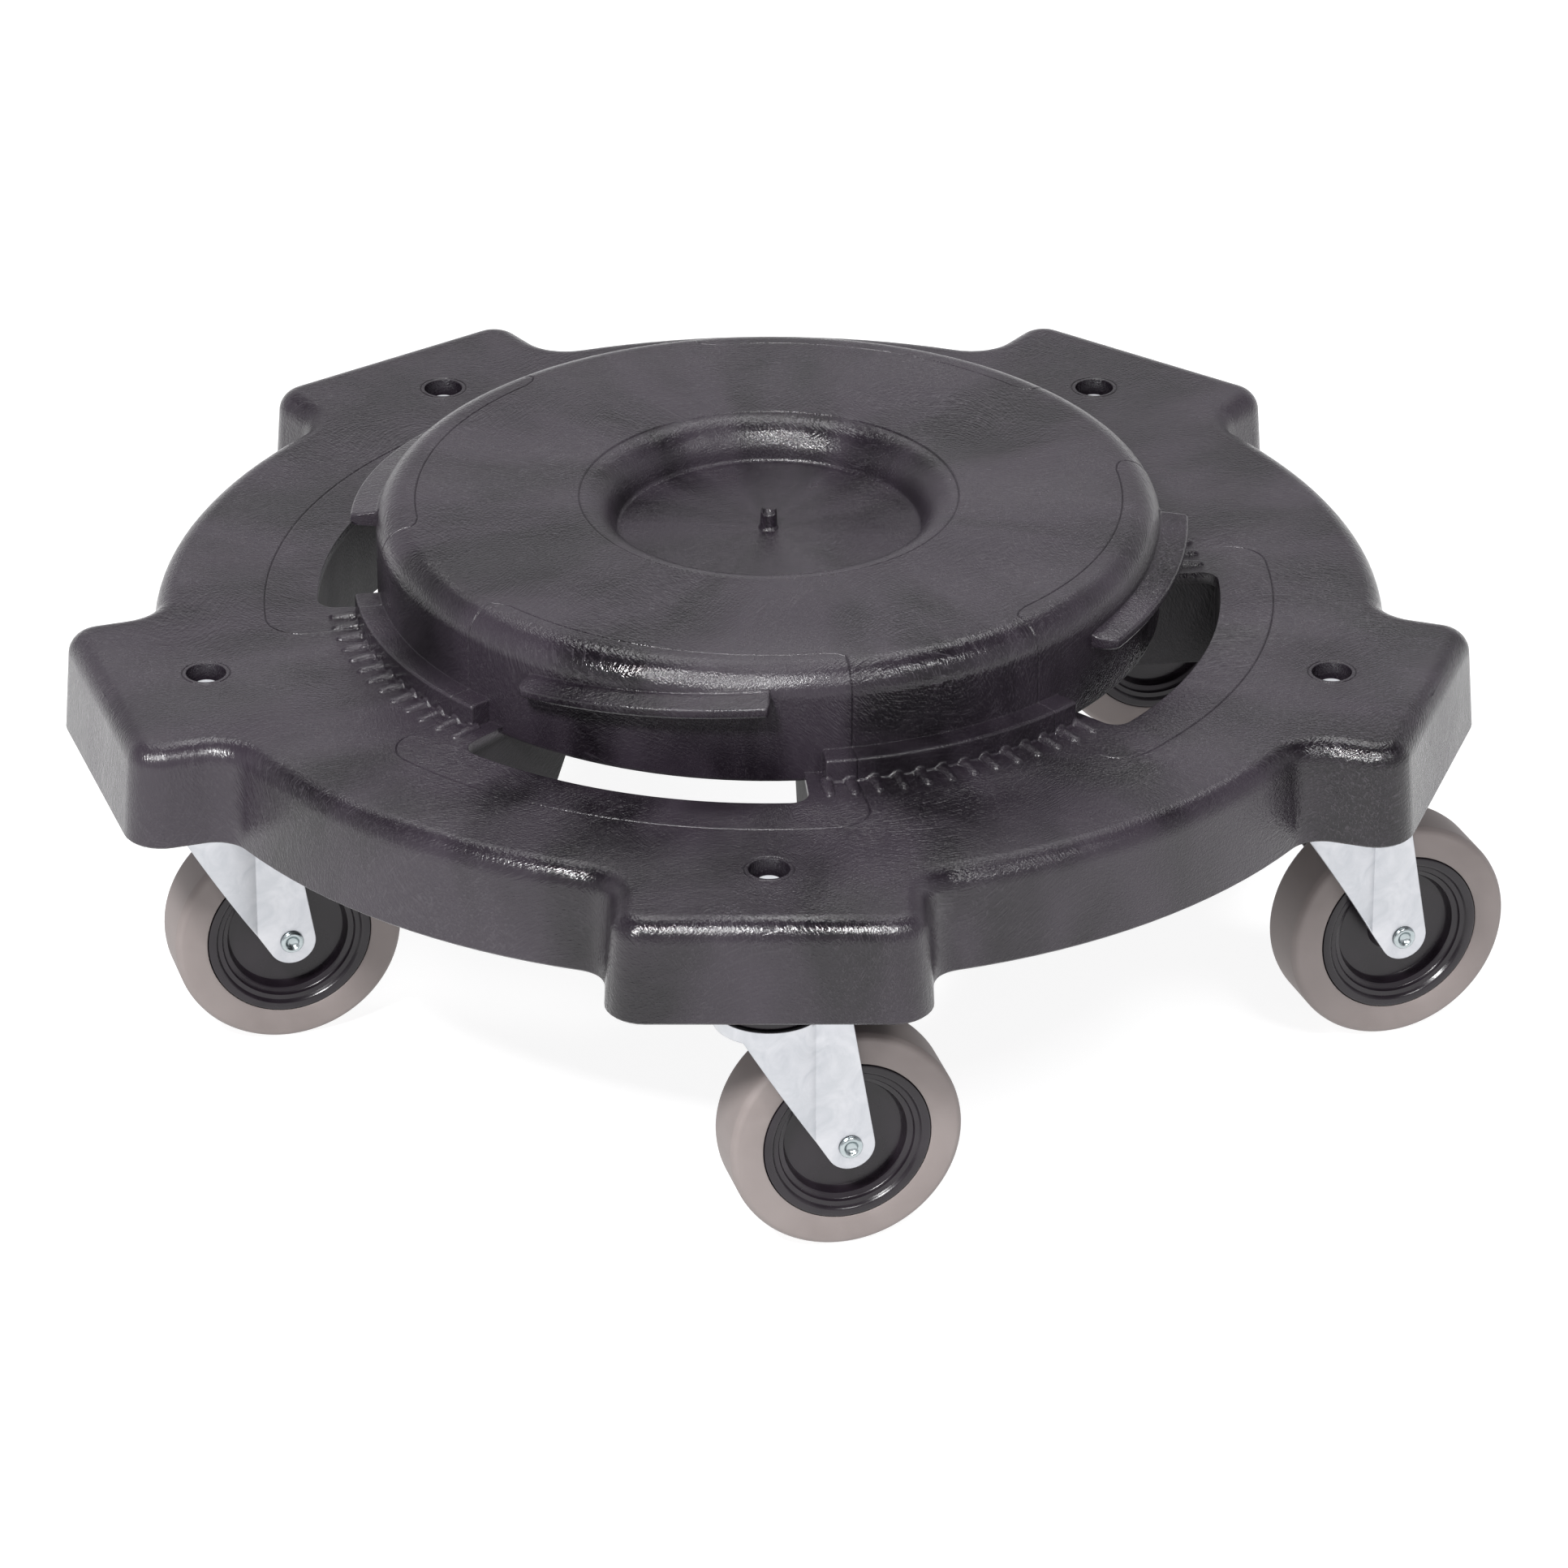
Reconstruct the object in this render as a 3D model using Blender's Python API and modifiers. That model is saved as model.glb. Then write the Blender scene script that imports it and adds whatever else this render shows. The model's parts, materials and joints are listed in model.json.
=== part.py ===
"""Round dolly for a container: a moulded plastic deck with five lobes, and a swivel caster under each.

Metres, +Z up. The origin is on the floor, in the middle of the dolly's footprint. Every piece hangs
from the empty "dolly", on the deck's axis at the height of its flat ring, so heights below are
measured from that ring, and what lies under it is negative.
"""

from math import asin, atan2, cos, pi, radians, sin, sqrt

import bmesh
import bpy
from mathutils import Matrix

# Where the deck's axis stands in the footprint, and how high the deck's ring is above the floor.
AXIS_X = -0.0057
AXIS_Y = 0.0095
RING_HEIGHT = 0.134

# Deck: a flat ring with a turned-down skirt, from above a circle broken by five square lobes.
RING_RADIUS = 0.2035
LOBE_REACH = 0.229
LOBE_HALF_WIDTH = 0.0495
LOBE_CORNER = 0.011
LOBE_FILLET = 0.013
LOBE_STEP = radians(72)
FIRST_LOBE = radians(-90)
SKIRT_BOTTOM = -0.0345
SKIRT_FLARE = 0.0018
PLATE = 0.004
RIM_ROUNDING = 0.0075
COLLAR_INSIDE = 0.1495

# Raised disc that the container sits over, with a dished middle and the stub of its moulding gate.
DISC_RADIUS = 0.1295
DISC_TOP = 0.0356
DISC_ROUNDING = 0.010
DISH_LIP = 0.0623
DISH_FLOOR = 0.0505
DISH_DEPTH = 0.0125
GATE_RADIUS = 0.0025
GATE_HEIGHT = 0.007

# Twist lock, in four quarters: a slot through the ring, a ramped lug over it, a ledge beside it.
QUARTERS = 4
SLOT_MIDDLE = radians(-18.2)
SLOT_HALF_SPAN = radians(23.2)
SLOT_CORNER = 0.006
LUG_HALF_SPAN = radians(18.3)
LUG_REACH = 0.138
LUG_HEIGHTS = (0.021, 0.025)
LUG_CLIMB = 0.006
LEDGE_HALF_SPAN = radians(19.3)
LEDGE_REACH = 0.1375
LEDGE_TOP = 0.008

# Ribs under the deck: gussets at the slots' ends, and a boss in a cross of ribs under each lobe.
GUSSET_WALL = 0.004
GUSSET_INNER = 0.097
GUSSET_HEEL = 0.108
GUSSET_BOTTOM = -0.034
RIB_WALL = 0.003
RIB_BOTTOM = -0.030
BOSS_RADIUS = 0.014
BOSS_BOTTOM = -0.0383
BORE_RADIUS = 0.0066

# Casters: their circle, and the way each one trails, in degrees left of +X.
BOLT_CIRCLE = 0.1925
CASTERS = {"front": 15.5, "right": 20.7, "back_right": 18.0, "back_left": 18.0, "left": 15.9}
TRAIL = 0.0227
GAP = 0.0003

# Wheel.
WHEEL_RADIUS = 0.0381
WHEEL_SIDES = 32
WHEEL_FACE = 0.0109
TREAD_EDGE = 0.0092
TYRE_SHOULDER = 0.0365
TYRE_INSIDE = 0.0277
AXLE_HEIGHT = WHEEL_RADIUS - RING_HEIGHT

# Fork: a round crown with a short skirt, and two flat legs that narrow to the axle.
CROWN_TOP = -0.0487
CROWN_BOTTOM = -0.0521
CROWN_RADIUS = 0.0182
CROWN_ROUNDING = 0.0015
FORK_SKIRT_BOTTOM = -0.0535
FORK_WALL = 0.0022
LEG_FACE = 0.0143
LEG_END = 0.008
LEADING_SLOPE = 1.66
TRAILING_SLOPE = 0.165

# Swivel bearing, kingpin stem and axle.
BALL_CIRCLE = 0.0115
BALL_RADIUS = 0.0019
RACE_DEPTH = 0.002
RACE_MOUTH = 0.0023
RACE_FLOOR = 0.0015
CAP_TOP = -0.0410
CAP_RADIUS = 0.017
STEM_TOP = -0.0045
STEM_RADIUS = 0.0048
STEM_HOLE = 0.0054
GROOVE_RADIUS = 0.0040
GROOVE_TOP = -0.0165
GROOVE_BOTTOM = -0.0245
FLANGE_RADIUS = 0.013
WASHER_RADIUS = 0.0085
WASHER_BOTTOM = -0.0538
RIVET_RADIUS = 0.0073
RIVET_BOTTOM = -0.0571
AXLE_RADIUS = 0.0030
AXLE_HEAD = 0.0041
SLEEVE_RADIUS = 0.0050


def clear_scene():
    for obj in list(bpy.data.objects):
        bpy.data.objects.remove(obj, do_unlink=True)


def collection_named(name, parent=None):
    made = bpy.data.collections.new(name)
    (parent or bpy.context.scene.collection).children.link(made)
    return made


def principled(name, colour, roughness, metallic):
    """A plain Principled material, with its viewport colour to match."""
    material = bpy.data.materials.new(name)
    material.use_nodes = True
    shader = material.node_tree.nodes["Principled BSDF"]
    shader.inputs["Base Color"].default_value = (*colour, 1)
    shader.inputs["Roughness"].default_value = roughness
    shader.inputs["Metallic"].default_value = metallic
    material.diffuse_color = (*colour, 1)
    return material


# Shapes


def arc(x, y, radius, start, end, steps):
    """Points along an arc about (x, y), both ends included."""
    angles = [start + (end - start) * step / steps for step in range(steps + 1)]
    return [(x + radius * cos(angle), y + radius * sin(angle)) for angle in angles]


def turn_point(point, angle):
    x, y = point
    return (x * cos(angle) - y * sin(angle), x * sin(angle) + y * cos(angle))


def object_of(bm, name, collection):
    """An object from a bmesh, its faces turned outwards."""
    bmesh.ops.recalc_face_normals(bm, faces=bm.faces)
    mesh = bpy.data.meshes.new(name)
    bm.to_mesh(mesh)
    bm.free()
    made = bpy.data.objects.new(name, mesh)
    collection.objects.link(made)
    return made


def cylinder(name, radius, top, bottom, sides, collection):
    bm = bmesh.new()
    middle = Matrix.Translation((0, 0, (top + bottom) / 2))
    bmesh.ops.create_cone(
        bm, cap_ends=True, segments=sides, radius1=radius, radius2=radius, depth=top - bottom, matrix=middle
    )
    return object_of(bm, name, collection)


def box(name, low, high, collection):
    """A box between two corners."""
    bm = bmesh.new()
    size = [b - a for a, b in zip(low, high)]
    middle = [(a + b) / 2 for a, b in zip(low, high)]
    bmesh.ops.create_cube(bm, size=1, matrix=Matrix.LocRotScale(middle, None, size))
    return object_of(bm, name, collection)


def draw_up(bm, faces, height):
    """Extrudes flat faces by height, and gives the vertices of their far side."""
    grown = bmesh.ops.extrude_face_region(bm, geom=faces)["geom"]
    far = [item for item in grown if isinstance(item, bmesh.types.BMVert)]
    bmesh.ops.translate(bm, verts=far, vec=(0, 0, height))
    return far


def prism(name, outline, bottom, top, collection, rounding=0.0, segments=1, foot=None):
    """A flat outline drawn up from bottom to top, its top edge rounded and its foot drawn out to foot."""
    bm = bmesh.new()
    low = [bm.verts.new((x, y, bottom)) for x, y in outline]
    base = bm.faces.new(low)
    far = set(draw_up(bm, [base], top - bottom))
    if rounding:
        rim = [edge for edge in bm.edges if far.issuperset(edge.verts)]
        bmesh.ops.bevel(
            bm, geom=rim, offset=rounding, segments=segments, profile=0.5, affect="EDGES"
        )
    for vertex, point in zip(low, foot or outline):
        vertex.co.xy = point
    return object_of(bm, name, collection)


def sector(name, radii, middle, half_span, heights, collection, climb=0.0):
    """A stretch of a flat ring, which climbs by climb from one end to the other."""
    steps = 6
    bm = bmesh.new()
    rows = []
    for step in range(steps + 1):
        share = step / steps - 0.5
        angle = middle + 2 * half_span * share
        height = heights[0] + climb * share
        rows.append([bm.verts.new((r * cos(angle), r * sin(angle), height)) for r in radii])
    strip = [bm.faces.new((a[0], a[1], b[1], b[0])) for a, b in zip(rows, rows[1:])]
    draw_up(bm, strip, heights[1] - heights[0])
    bmesh.ops.triangulate(bm, faces=bm.faces)
    return object_of(bm, name, collection)


def turned(name, profile, sides, collection, closed=False):
    """A profile of (radius, height) points turned about Z. It runs down its outer side, top to bottom."""
    start = pi / sides
    bm = bmesh.new()
    verts = [bm.verts.new((r * cos(start), r * sin(start), z)) for r, z in profile]
    ends = verts[1:] + verts[:1] if closed else verts[1:]
    for one, other in zip(verts, ends):
        bm.edges.new((one, other))
    mesh = bpy.data.meshes.new(name)
    bm.to_mesh(mesh)
    bm.free()
    made = bpy.data.objects.new(name, mesh)
    collection.objects.link(made)
    screw = made.modifiers.new("turn", "SCREW")
    screw.steps = sides
    screw.render_steps = sides
    screw.use_merge_vertices = True
    screw.merge_threshold = 0.00001
    return made


def boolean(obj, operation, other):
    """Cuts, joins or keeps what lies in other, an object or a collection of objects."""
    modifier = obj.modifiers.new(operation.lower(), "BOOLEAN")
    modifier.operation = operation
    modifier.solver = "EXACT"
    if isinstance(other, bpy.types.Collection):
        modifier.operand_type = "COLLECTION"
        modifier.collection = other
    else:
        modifier.object = other


def baked(form, material):
    """The mesh that a form's modifiers make, ready to be shared by the copies of a piece."""
    bpy.context.view_layer.update()
    graph = bpy.context.evaluated_depsgraph_get()
    mesh = bpy.data.meshes.new_from_object(form.evaluated_get(graph))
    mesh.materials.clear()
    mesh.materials.append(material)
    mesh.shade_smooth()
    mesh.set_sharp_from_angle(angle=radians(35))
    return mesh


# Deck


def deck_outline(inset):
    """The deck from above: the ring, broken by five lobes that run into it with hollow fillets."""
    ring, reach, half = RING_RADIUS - inset, LOBE_REACH - inset, LOBE_HALF_WIDTH - inset
    corner, fillet = LOBE_CORNER - inset, LOBE_FILLET + inset
    fillet_y = half + fillet
    fillet_x = sqrt((ring + fillet) ** 2 - fillet_y**2)
    lean = atan2(fillet_y, fillet_x)
    lobe = arc(fillet_x, -fillet_y, fillet, pi - lean, pi / 2, 3)
    lobe += arc(reach - corner, corner - half, corner, -pi / 2, 0, 3)
    lobe += arc(reach - corner, half - corner, corner, 0, pi / 2, 3)
    lobe += arc(fillet_x, fillet_y, fillet, -pi / 2, lean - pi, 3)
    lobe += arc(0, 0, ring, lean, LOBE_STEP - lean, 6)[1:-1]
    turns = [FIRST_LOBE + index * LOBE_STEP for index in range(len(CASTERS))]
    return [turn_point(point, turn) for turn in turns for point in lobe]


def slot_outline(middle):
    """A slot from above. It starts inside the disc's wall, and its two outer corners are rounded."""
    half, corner, outer = SLOT_HALF_SPAN, SLOT_CORNER, COLLAR_INSIDE
    inner = DISC_RADIUS - 2 * PLATE
    lean = asin(corner / (outer - corner))
    reach = sqrt((outer - corner) ** 2 - corner**2)
    first = turn_point((reach, corner), -half)
    last = turn_point((reach, -corner), half)
    points = [turn_point((inner, 0), -half)]
    points += arc(*first, corner, -half - pi / 2, lean - half, 3)
    points += arc(0, 0, outer, lean - half, half - lean, 8)[1:-1]
    points += arc(*last, corner, half - lean, half + pi / 2, 3)
    points += [turn_point((inner, 0), half)]
    return [turn_point(point, middle) for point in points]


def disc_profile():
    """The disc as one even wall: dish, lip, flat top, rounded shoulder and upright side."""
    under = DISC_TOP - PLATE
    floor = DISC_TOP - DISH_DEPTH
    shoulder = DISC_RADIUS - DISC_ROUNDING
    inside = DISC_RADIUS - PLATE
    step = (DISH_LIP - DISH_FLOOR) / 4
    profile = [(0, floor), (DISH_FLOOR, floor), (DISH_FLOOR + step / 4, floor + DISH_DEPTH / 2)]
    profile += [(DISH_FLOOR + 1.5 * step, DISC_TOP - DISH_DEPTH / 7), (DISH_LIP, DISC_TOP)]
    profile += arc(shoulder, DISC_TOP - DISC_ROUNDING, DISC_ROUNDING, pi / 2, 0, 3)
    profile += [(DISC_RADIUS, -PLATE), (inside, -PLATE), (inside, DISC_TOP - DISC_ROUNDING)]
    profile += [(shoulder, under), (DISH_LIP + step, under), (DISH_FLOOR + step, floor - PLATE)]
    return profile + [(0, floor - PLATE)]


def gusset(name, angle, collection):
    """An upright rib from the collar in under the disc, its lower edge rising at the inner end."""
    inside = DISC_RADIUS - PLATE / 2
    outside = COLLAR_INSIDE + PLATE / 2
    top = DISC_TOP - PLATE / 2
    outline = [(GUSSET_INNER, GUSSET_BOTTOM / 2), (GUSSET_INNER + 0.007, GUSSET_BOTTOM + 0.004)]
    outline += [(GUSSET_HEEL, GUSSET_BOTTOM), (outside, GUSSET_BOTTOM), (outside, -PLATE / 2)]
    outline += [(inside, -PLATE / 2), (inside, top - DISC_ROUNDING), (inside - DISC_ROUNDING, top)]
    rib = prism(name, outline + [(GUSSET_INNER, top)], -GUSSET_WALL / 2, GUSSET_WALL / 2, collection)
    rib.matrix_basis = Matrix.Rotation(angle, 4, "Z") @ Matrix.Rotation(pi / 2, 4, "X")


def build_lock(quarter, slots, additions):
    """A quarter of the twist lock, with a gusset behind each end of its slot."""
    middle = SLOT_MIDDLE + quarter * pi / 2
    inner = DISC_RADIUS - PLATE / 2
    prism(f"slot_{quarter}", slot_outline(middle), SKIRT_BOTTOM - 0.002, 0.002, slots)
    sector(f"lug_{quarter}", (inner, LUG_REACH), middle, LUG_HALF_SPAN, LUG_HEIGHTS, additions, LUG_CLIMB)
    ledge_heights = (-PLATE / 2, LEDGE_TOP)
    sector(
        f"ledge_{quarter}", (inner, LEDGE_REACH), middle + pi / 4, LEDGE_HALF_SPAN, ledge_heights, additions
    )
    behind = SLOT_HALF_SPAN + (GUSSET_WALL / 2 + 0.001) / COLLAR_INSIDE
    gusset(f"gusset_{quarter}_first", middle - behind, additions)
    gusset(f"gusset_{quarter}_last", middle + behind, additions)


def build_lobe(name, angle, additions, bores):
    """Under each lobe, a bored boss for the caster's stem, held in a cross of two ribs."""
    seat = Matrix.Rotation(angle, 4, "Z") @ Matrix.Translation((BOLT_CIRCLE, 0, 0))
    inward = COLLAR_INSIDE + PLATE / 2 - BOLT_CIRCLE
    outward = LOBE_REACH - PLATE / 2 - BOLT_CIRCLE
    across = LOBE_HALF_WIDTH - PLATE / 2
    half, top = RIB_WALL / 2, -PLATE / 2
    low = RIB_BOTTOM + 0.001
    shapes = (
        cylinder(f"boss_{name}", BOSS_RADIUS, top, BOSS_BOTTOM, 16, additions),
        box(f"radial_rib_{name}", (inward, -half, RIB_BOTTOM), (outward, half, top), additions),
        box(f"cross_rib_{name}", (-half, -across, low), (half, across, top), additions),
        cylinder(f"bore_{name}", BORE_RADIUS, 0.01, BOSS_BOTTOM - 0.01, 16, bores),
    )
    for shape in shapes:
        shape.matrix_basis = seat


def build_deck_form():
    """The deck is one moulding: a tray, joined to the disc, lugs, ledges, ribs and bosses."""
    deep = SKIRT_BOTTOM - 0.002
    wider = deck_outline(PLATE - SKIRT_FLARE)
    channel = prism("channel", deck_outline(PLATE), deep, -PLATE, cutters, foot=wider)
    collar = cylinder("collar", COLLAR_INSIDE + PLATE, 0.01, deep - 0.01, 40, cutters)
    boolean(channel, "DIFFERENCE", collar)
    mouth = DISC_RADIUS - PLATE / 2
    well_profile = [(0, 0.002), (mouth, 0.002), (mouth, -PLATE), (COLLAR_INSIDE, -PLATE)]
    well = turned("well", well_profile + [(COLLAR_INSIDE, deep), (0, deep)], 40, cutters)
    slots = collection_named("slots", cutters)
    additions = collection_named("additions", cutters)
    bores = collection_named("bores", cutters)
    turned("disc", disc_profile(), 40, additions)
    floor = DISC_TOP - DISH_DEPTH
    cylinder("gate", GATE_RADIUS, floor + GATE_HEIGHT, floor - PLATE / 2, 8, additions)
    for quarter in range(QUARTERS):
        build_lock(quarter, slots, additions)
    for index, name in enumerate(CASTERS):
        build_lobe(name, FIRST_LOBE + index * LOBE_STEP, additions, bores)
    flared = deck_outline(-SKIRT_FLARE)
    deck = prism("deck_form", deck_outline(0), SKIRT_BOTTOM, 0, cutters, RIM_ROUNDING, 2, flared)
    for cut in (channel, well, slots):
        boolean(deck, "DIFFERENCE", cut)
    boolean(deck, "UNION", additions)
    boolean(deck, "DIFFERENCE", bores)
    return deck


# Caster. Its forms stand on the swivel axis, and their +X is the way the wheel trails.


def fork_plan(radius, half_width, reach):
    """From above, a circle about the swivel axis that opens into two flat legs."""
    join = asin(half_width / radius)
    return [(reach, -half_width), (reach, half_width)] + arc(0, 0, radius, join, 2 * pi - join, 12)


def fork_side():
    """From the side: the crown's short skirt in front, and a leg narrowing to its round end."""
    top = CROWN_TOP + 0.002
    front = -2 * CROWN_RADIUS
    lead = atan2(-1, -LEADING_SLOPE) + 2 * pi
    trail = atan2(TRAILING_SLOPE, 1) + 2 * pi
    end = arc(TRAIL, AXLE_HEIGHT, LEG_END, lead, trail, 6)
    (lead_x, lead_z), (trail_x, trail_z) = end[0], end[-1]
    skirt_x = lead_x - (FORK_SKIRT_BOTTOM - lead_z) / LEADING_SLOPE
    top_x = trail_x - (top - trail_z) * TRAILING_SLOPE
    return [(front, top), (front, FORK_SKIRT_BOTTOM), (skirt_x, FORK_SKIRT_BOTTOM)] + end + [(top_x, top)]


def race_groove(mouth_height, floor_height):
    """Where a race's groove runs, from its outer edge to its inner edge."""
    return [
        (BALL_CIRCLE + RACE_MOUTH, mouth_height),
        (BALL_CIRCLE + RACE_FLOOR, floor_height),
        (BALL_CIRCLE - RACE_FLOOR, floor_height),
        (BALL_CIRCLE - RACE_MOUTH, mouth_height),
    ]


def build_fork_form():
    """A pressed fork: one folded wall, cut to its side outline and pierced for the pin and the axle."""
    deep = AXLE_HEIGHT - 2 * LEG_END
    reach = TRAIL + 2 * LEG_END
    plan = fork_plan(CROWN_RADIUS, LEG_FACE, reach)
    hollow = fork_plan(CROWN_RADIUS - FORK_WALL, LEG_FACE - FORK_WALL, reach + 0.005)
    fork = prism("fork_form", plan, deep, CROWN_TOP, cutters, CROWN_ROUNDING)
    inside = prism("fork_inside", hollow, deep - 0.005, CROWN_BOTTOM, cutters)
    side = prism("fork_outline", fork_side(), -0.03, 0.03, cutters)
    side.matrix_basis = Matrix.Rotation(pi / 2, 4, "X")
    holes = collection_named("fork_holes", cutters)
    groove = race_groove(CROWN_TOP, CROWN_TOP - RACE_DEPTH)
    (outer, _), (inner, _) = groove[0], groove[-1]
    above = CROWN_TOP + 0.002
    turned("fork_race", [(outer, above)] + groove + [(inner, above)], 16, holes, closed=True)
    cylinder("fork_pin_hole", STEM_HOLE, CROWN_TOP + 0.01, CROWN_BOTTOM - 0.01, 16, holes)
    axle_hole = cylinder("fork_axle_hole", AXLE_RADIUS + GAP, 0.03, -0.03, 12, holes)
    to_axle = Matrix.Translation((TRAIL, 0, AXLE_HEIGHT))
    axle_hole.matrix_basis = to_axle @ Matrix.Rotation(pi / 2, 4, "X")
    boolean(fork, "DIFFERENCE", inside)
    boolean(fork, "INTERSECT", side)
    boolean(fork, "DIFFERENCE", holes)
    return fork


def build_stem_form():
    """The kingpin: a grooved stem for the deck's bore, a flange, and a rivet head under the fork."""
    flange_top = BOSS_BOTTOM - GAP
    flange_bottom = CAP_TOP + GAP
    head_top = WASHER_BOTTOM - GAP
    profile = [(0, STEM_TOP), (GROOVE_RADIUS, STEM_TOP), (STEM_RADIUS, STEM_TOP - 0.0008)]
    profile += [(STEM_RADIUS, GROOVE_TOP), (GROOVE_RADIUS, GROOVE_TOP)]
    profile += [(GROOVE_RADIUS, GROOVE_BOTTOM), (STEM_RADIUS, GROOVE_BOTTOM)]
    profile += [(STEM_RADIUS, flange_top), (FLANGE_RADIUS, flange_top)]
    profile += [(FLANGE_RADIUS, flange_bottom), (STEM_RADIUS, flange_bottom)]
    profile += [(STEM_RADIUS, head_top), (RIVET_RADIUS, head_top)]
    profile += [(RIVET_RADIUS - 0.001, RIVET_BOTTOM + 0.0005), (0, RIVET_BOTTOM)]
    return turned("stem_form", profile, 12, cutters)


def build_grip_ring_form():
    """The sprung ring in the stem's groove that holds the caster in its bore, split on one side."""
    inside = GROOVE_RADIUS + 0.0004
    outside = BORE_RADIUS - 0.0004
    ring = tube("grip_ring_form", inside, outside, GROOVE_TOP - GAP, GROOVE_BOTTOM + GAP, 12)
    slit = box("grip_ring_slit", (0, -0.0008, GROOVE_BOTTOM), (0.01, 0.0008, GROOVE_TOP), cutters)
    boolean(ring, "DIFFERENCE", slit)
    return ring


def tube(name, inside, outside, top, bottom, sides):
    profile = [(outside, top), (outside, bottom), (inside, bottom), (inside, top)]
    return turned(name, profile, sides, cutters, closed=True)


def build_cap_form():
    """The bearing's upper race, a black cap with a groove under it for the balls."""
    bottom = CROWN_TOP + 0.0004
    profile = [(CAP_RADIUS - 0.0015, CAP_TOP), (CAP_RADIUS, CAP_TOP - 0.0015), (CAP_RADIUS, bottom)]
    profile += race_groove(bottom, bottom + RACE_DEPTH)
    profile += [(STEM_HOLE, bottom), (STEM_HOLE, CAP_TOP)]
    return turned("cap_form", profile, 16, cutters, closed=True)


def build_balls_form():
    ring = arc(BALL_CIRCLE, CROWN_TOP + 0.0002, BALL_RADIUS, pi / 2, -1.5 * pi, 6)[:-1]
    return turned("balls_form", ring, 16, cutters, closed=True)


def build_axle_form():
    """A hollow-ended rivet through both legs."""
    seat = LEG_FACE + GAP
    rim = seat + 0.001
    half = [(0, rim - 0.0007), (0.6 * AXLE_HEAD, rim), (AXLE_HEAD, rim - 0.0002)]
    half += [(AXLE_HEAD, seat), (AXLE_RADIUS, seat)]
    return turned("axle_form", half + [(r, -z) for r, z in reversed(half)], 12, cutters)


def build_hub_form():
    """A moulded centre: a deep recess on each side, between a broad rim and a bored boss."""
    rim = TYRE_INSIDE - GAP
    boss = WHEEL_FACE + 0.0005
    web = 0.0045
    bore = SLEEVE_RADIUS + 0.0004
    half = [(bore, boss), (0.0075, boss), (0.0083, web)]
    half += [(0.0198, web), (0.0243, WHEEL_FACE), (rim, WHEEL_FACE)]
    return turned("hub_form", half + [(r, -z) for r, z in reversed(half)], 20, cutters, closed=True)


def build_tyre_form():
    """A plain tyre with eased edges. Its sides' flats, not its corners, touch the wheel's true radius."""
    grow = 1 / cos(pi / WHEEL_SIDES)
    half = [(TYRE_INSIDE, WHEEL_FACE), (TYRE_SHOULDER * grow, WHEEL_FACE)]
    half += [(WHEEL_RADIUS * grow, TREAD_EDGE)]
    profile = half + [(r, -z) for r, z in reversed(half)]
    return turned("tyre_form", profile, WHEEL_SIDES, cutters, closed=True)


def node(name, mesh, parent, along_axle=False):
    """One piece of the dolly, hung from an empty on its joint's axis."""
    made = bpy.data.objects.new(name, mesh)
    made.parent = parent
    made.rotation_euler.x = -pi / 2 if along_axle else 0
    parts.objects.link(made)


def joint_empty(name, parent, location, turn=0.0):
    made = bpy.data.objects.new(name, None)
    made.empty_display_size = 0.02
    made.parent = parent
    made.location = location
    made.rotation_euler.z = turn
    parts.objects.link(made)
    return made


def build_caster(name, lobe, trail_turn, dolly, meshes):
    """Five pieces on the deck's side of the swivel, and the fork with its wheel on the other."""
    seat = (BOLT_CIRCLE * cos(lobe), BOLT_CIRCLE * sin(lobe), 0)
    swivel = joint_empty(f"{name}_swivel_axis", dolly, seat, trail_turn)
    roll = joint_empty(f"{name}_roll_axis", swivel, (TRAIL, 0, AXLE_HEIGHT))
    for piece in ("stem", "grip_ring", "bearing_cap", "ball_ring", "kingpin_washer", "fork"):
        node(f"{name}_{piece}", meshes[piece], swivel)
    for piece in ("axle", "sleeve", "hub", "tyre"):
        node(f"{name}_{piece}", meshes[piece], roll, along_axle=True)


clear_scene()
parts = collection_named("container_dolly")
cutters = collection_named("cutters")
deck_plastic = principled("deck_plastic", (0.075, 0.071, 0.078), 0.45, 0.0)
hub_plastic = principled("hub_plastic", (0.03, 0.029, 0.031), 0.4, 0.0)
tyre_rubber = principled("tyre_rubber", (0.36, 0.33, 0.31), 0.6, 0.0)
zinc = principled("zinc", (0.72, 0.75, 0.78), 0.35, 1.0)
bearing_steel = principled("bearing_steel", (0.5, 0.5, 0.52), 0.25, 1.0)
nylon = principled("nylon", (0.7, 0.69, 0.64), 0.5, 0.0)

main_empty = joint_empty("dolly", None, (AXIS_X, AXIS_Y, RING_HEIGHT))
node("deck", baked(build_deck_form(), deck_plastic), main_empty)
washer_form = tube("washer_form", STEM_HOLE, WASHER_RADIUS, CROWN_BOTTOM - GAP, WASHER_BOTTOM, 12)
sleeve_half = LEG_FACE - FORK_WALL - GAP
sleeve_form = tube("sleeve_form", AXLE_RADIUS + GAP, SLEEVE_RADIUS, sleeve_half, -sleeve_half, 12)
caster_meshes = {
    "stem": baked(build_stem_form(), zinc),
    "grip_ring": baked(build_grip_ring_form(), bearing_steel),
    "bearing_cap": baked(build_cap_form(), hub_plastic),
    "ball_ring": baked(build_balls_form(), bearing_steel),
    "kingpin_washer": baked(washer_form, zinc),
    "fork": baked(build_fork_form(), zinc),
    "axle": baked(build_axle_form(), zinc),
    "sleeve": baked(sleeve_form, nylon),
    "hub": baked(build_hub_form(), hub_plastic),
    "tyre": baked(build_tyre_form(), tyre_rubber),
}
for index, (caster, degrees) in enumerate(CASTERS.items()):
    build_caster(caster, FIRST_LOBE + index * LOBE_STEP, radians(degrees), main_empty, caster_meshes)
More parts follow.
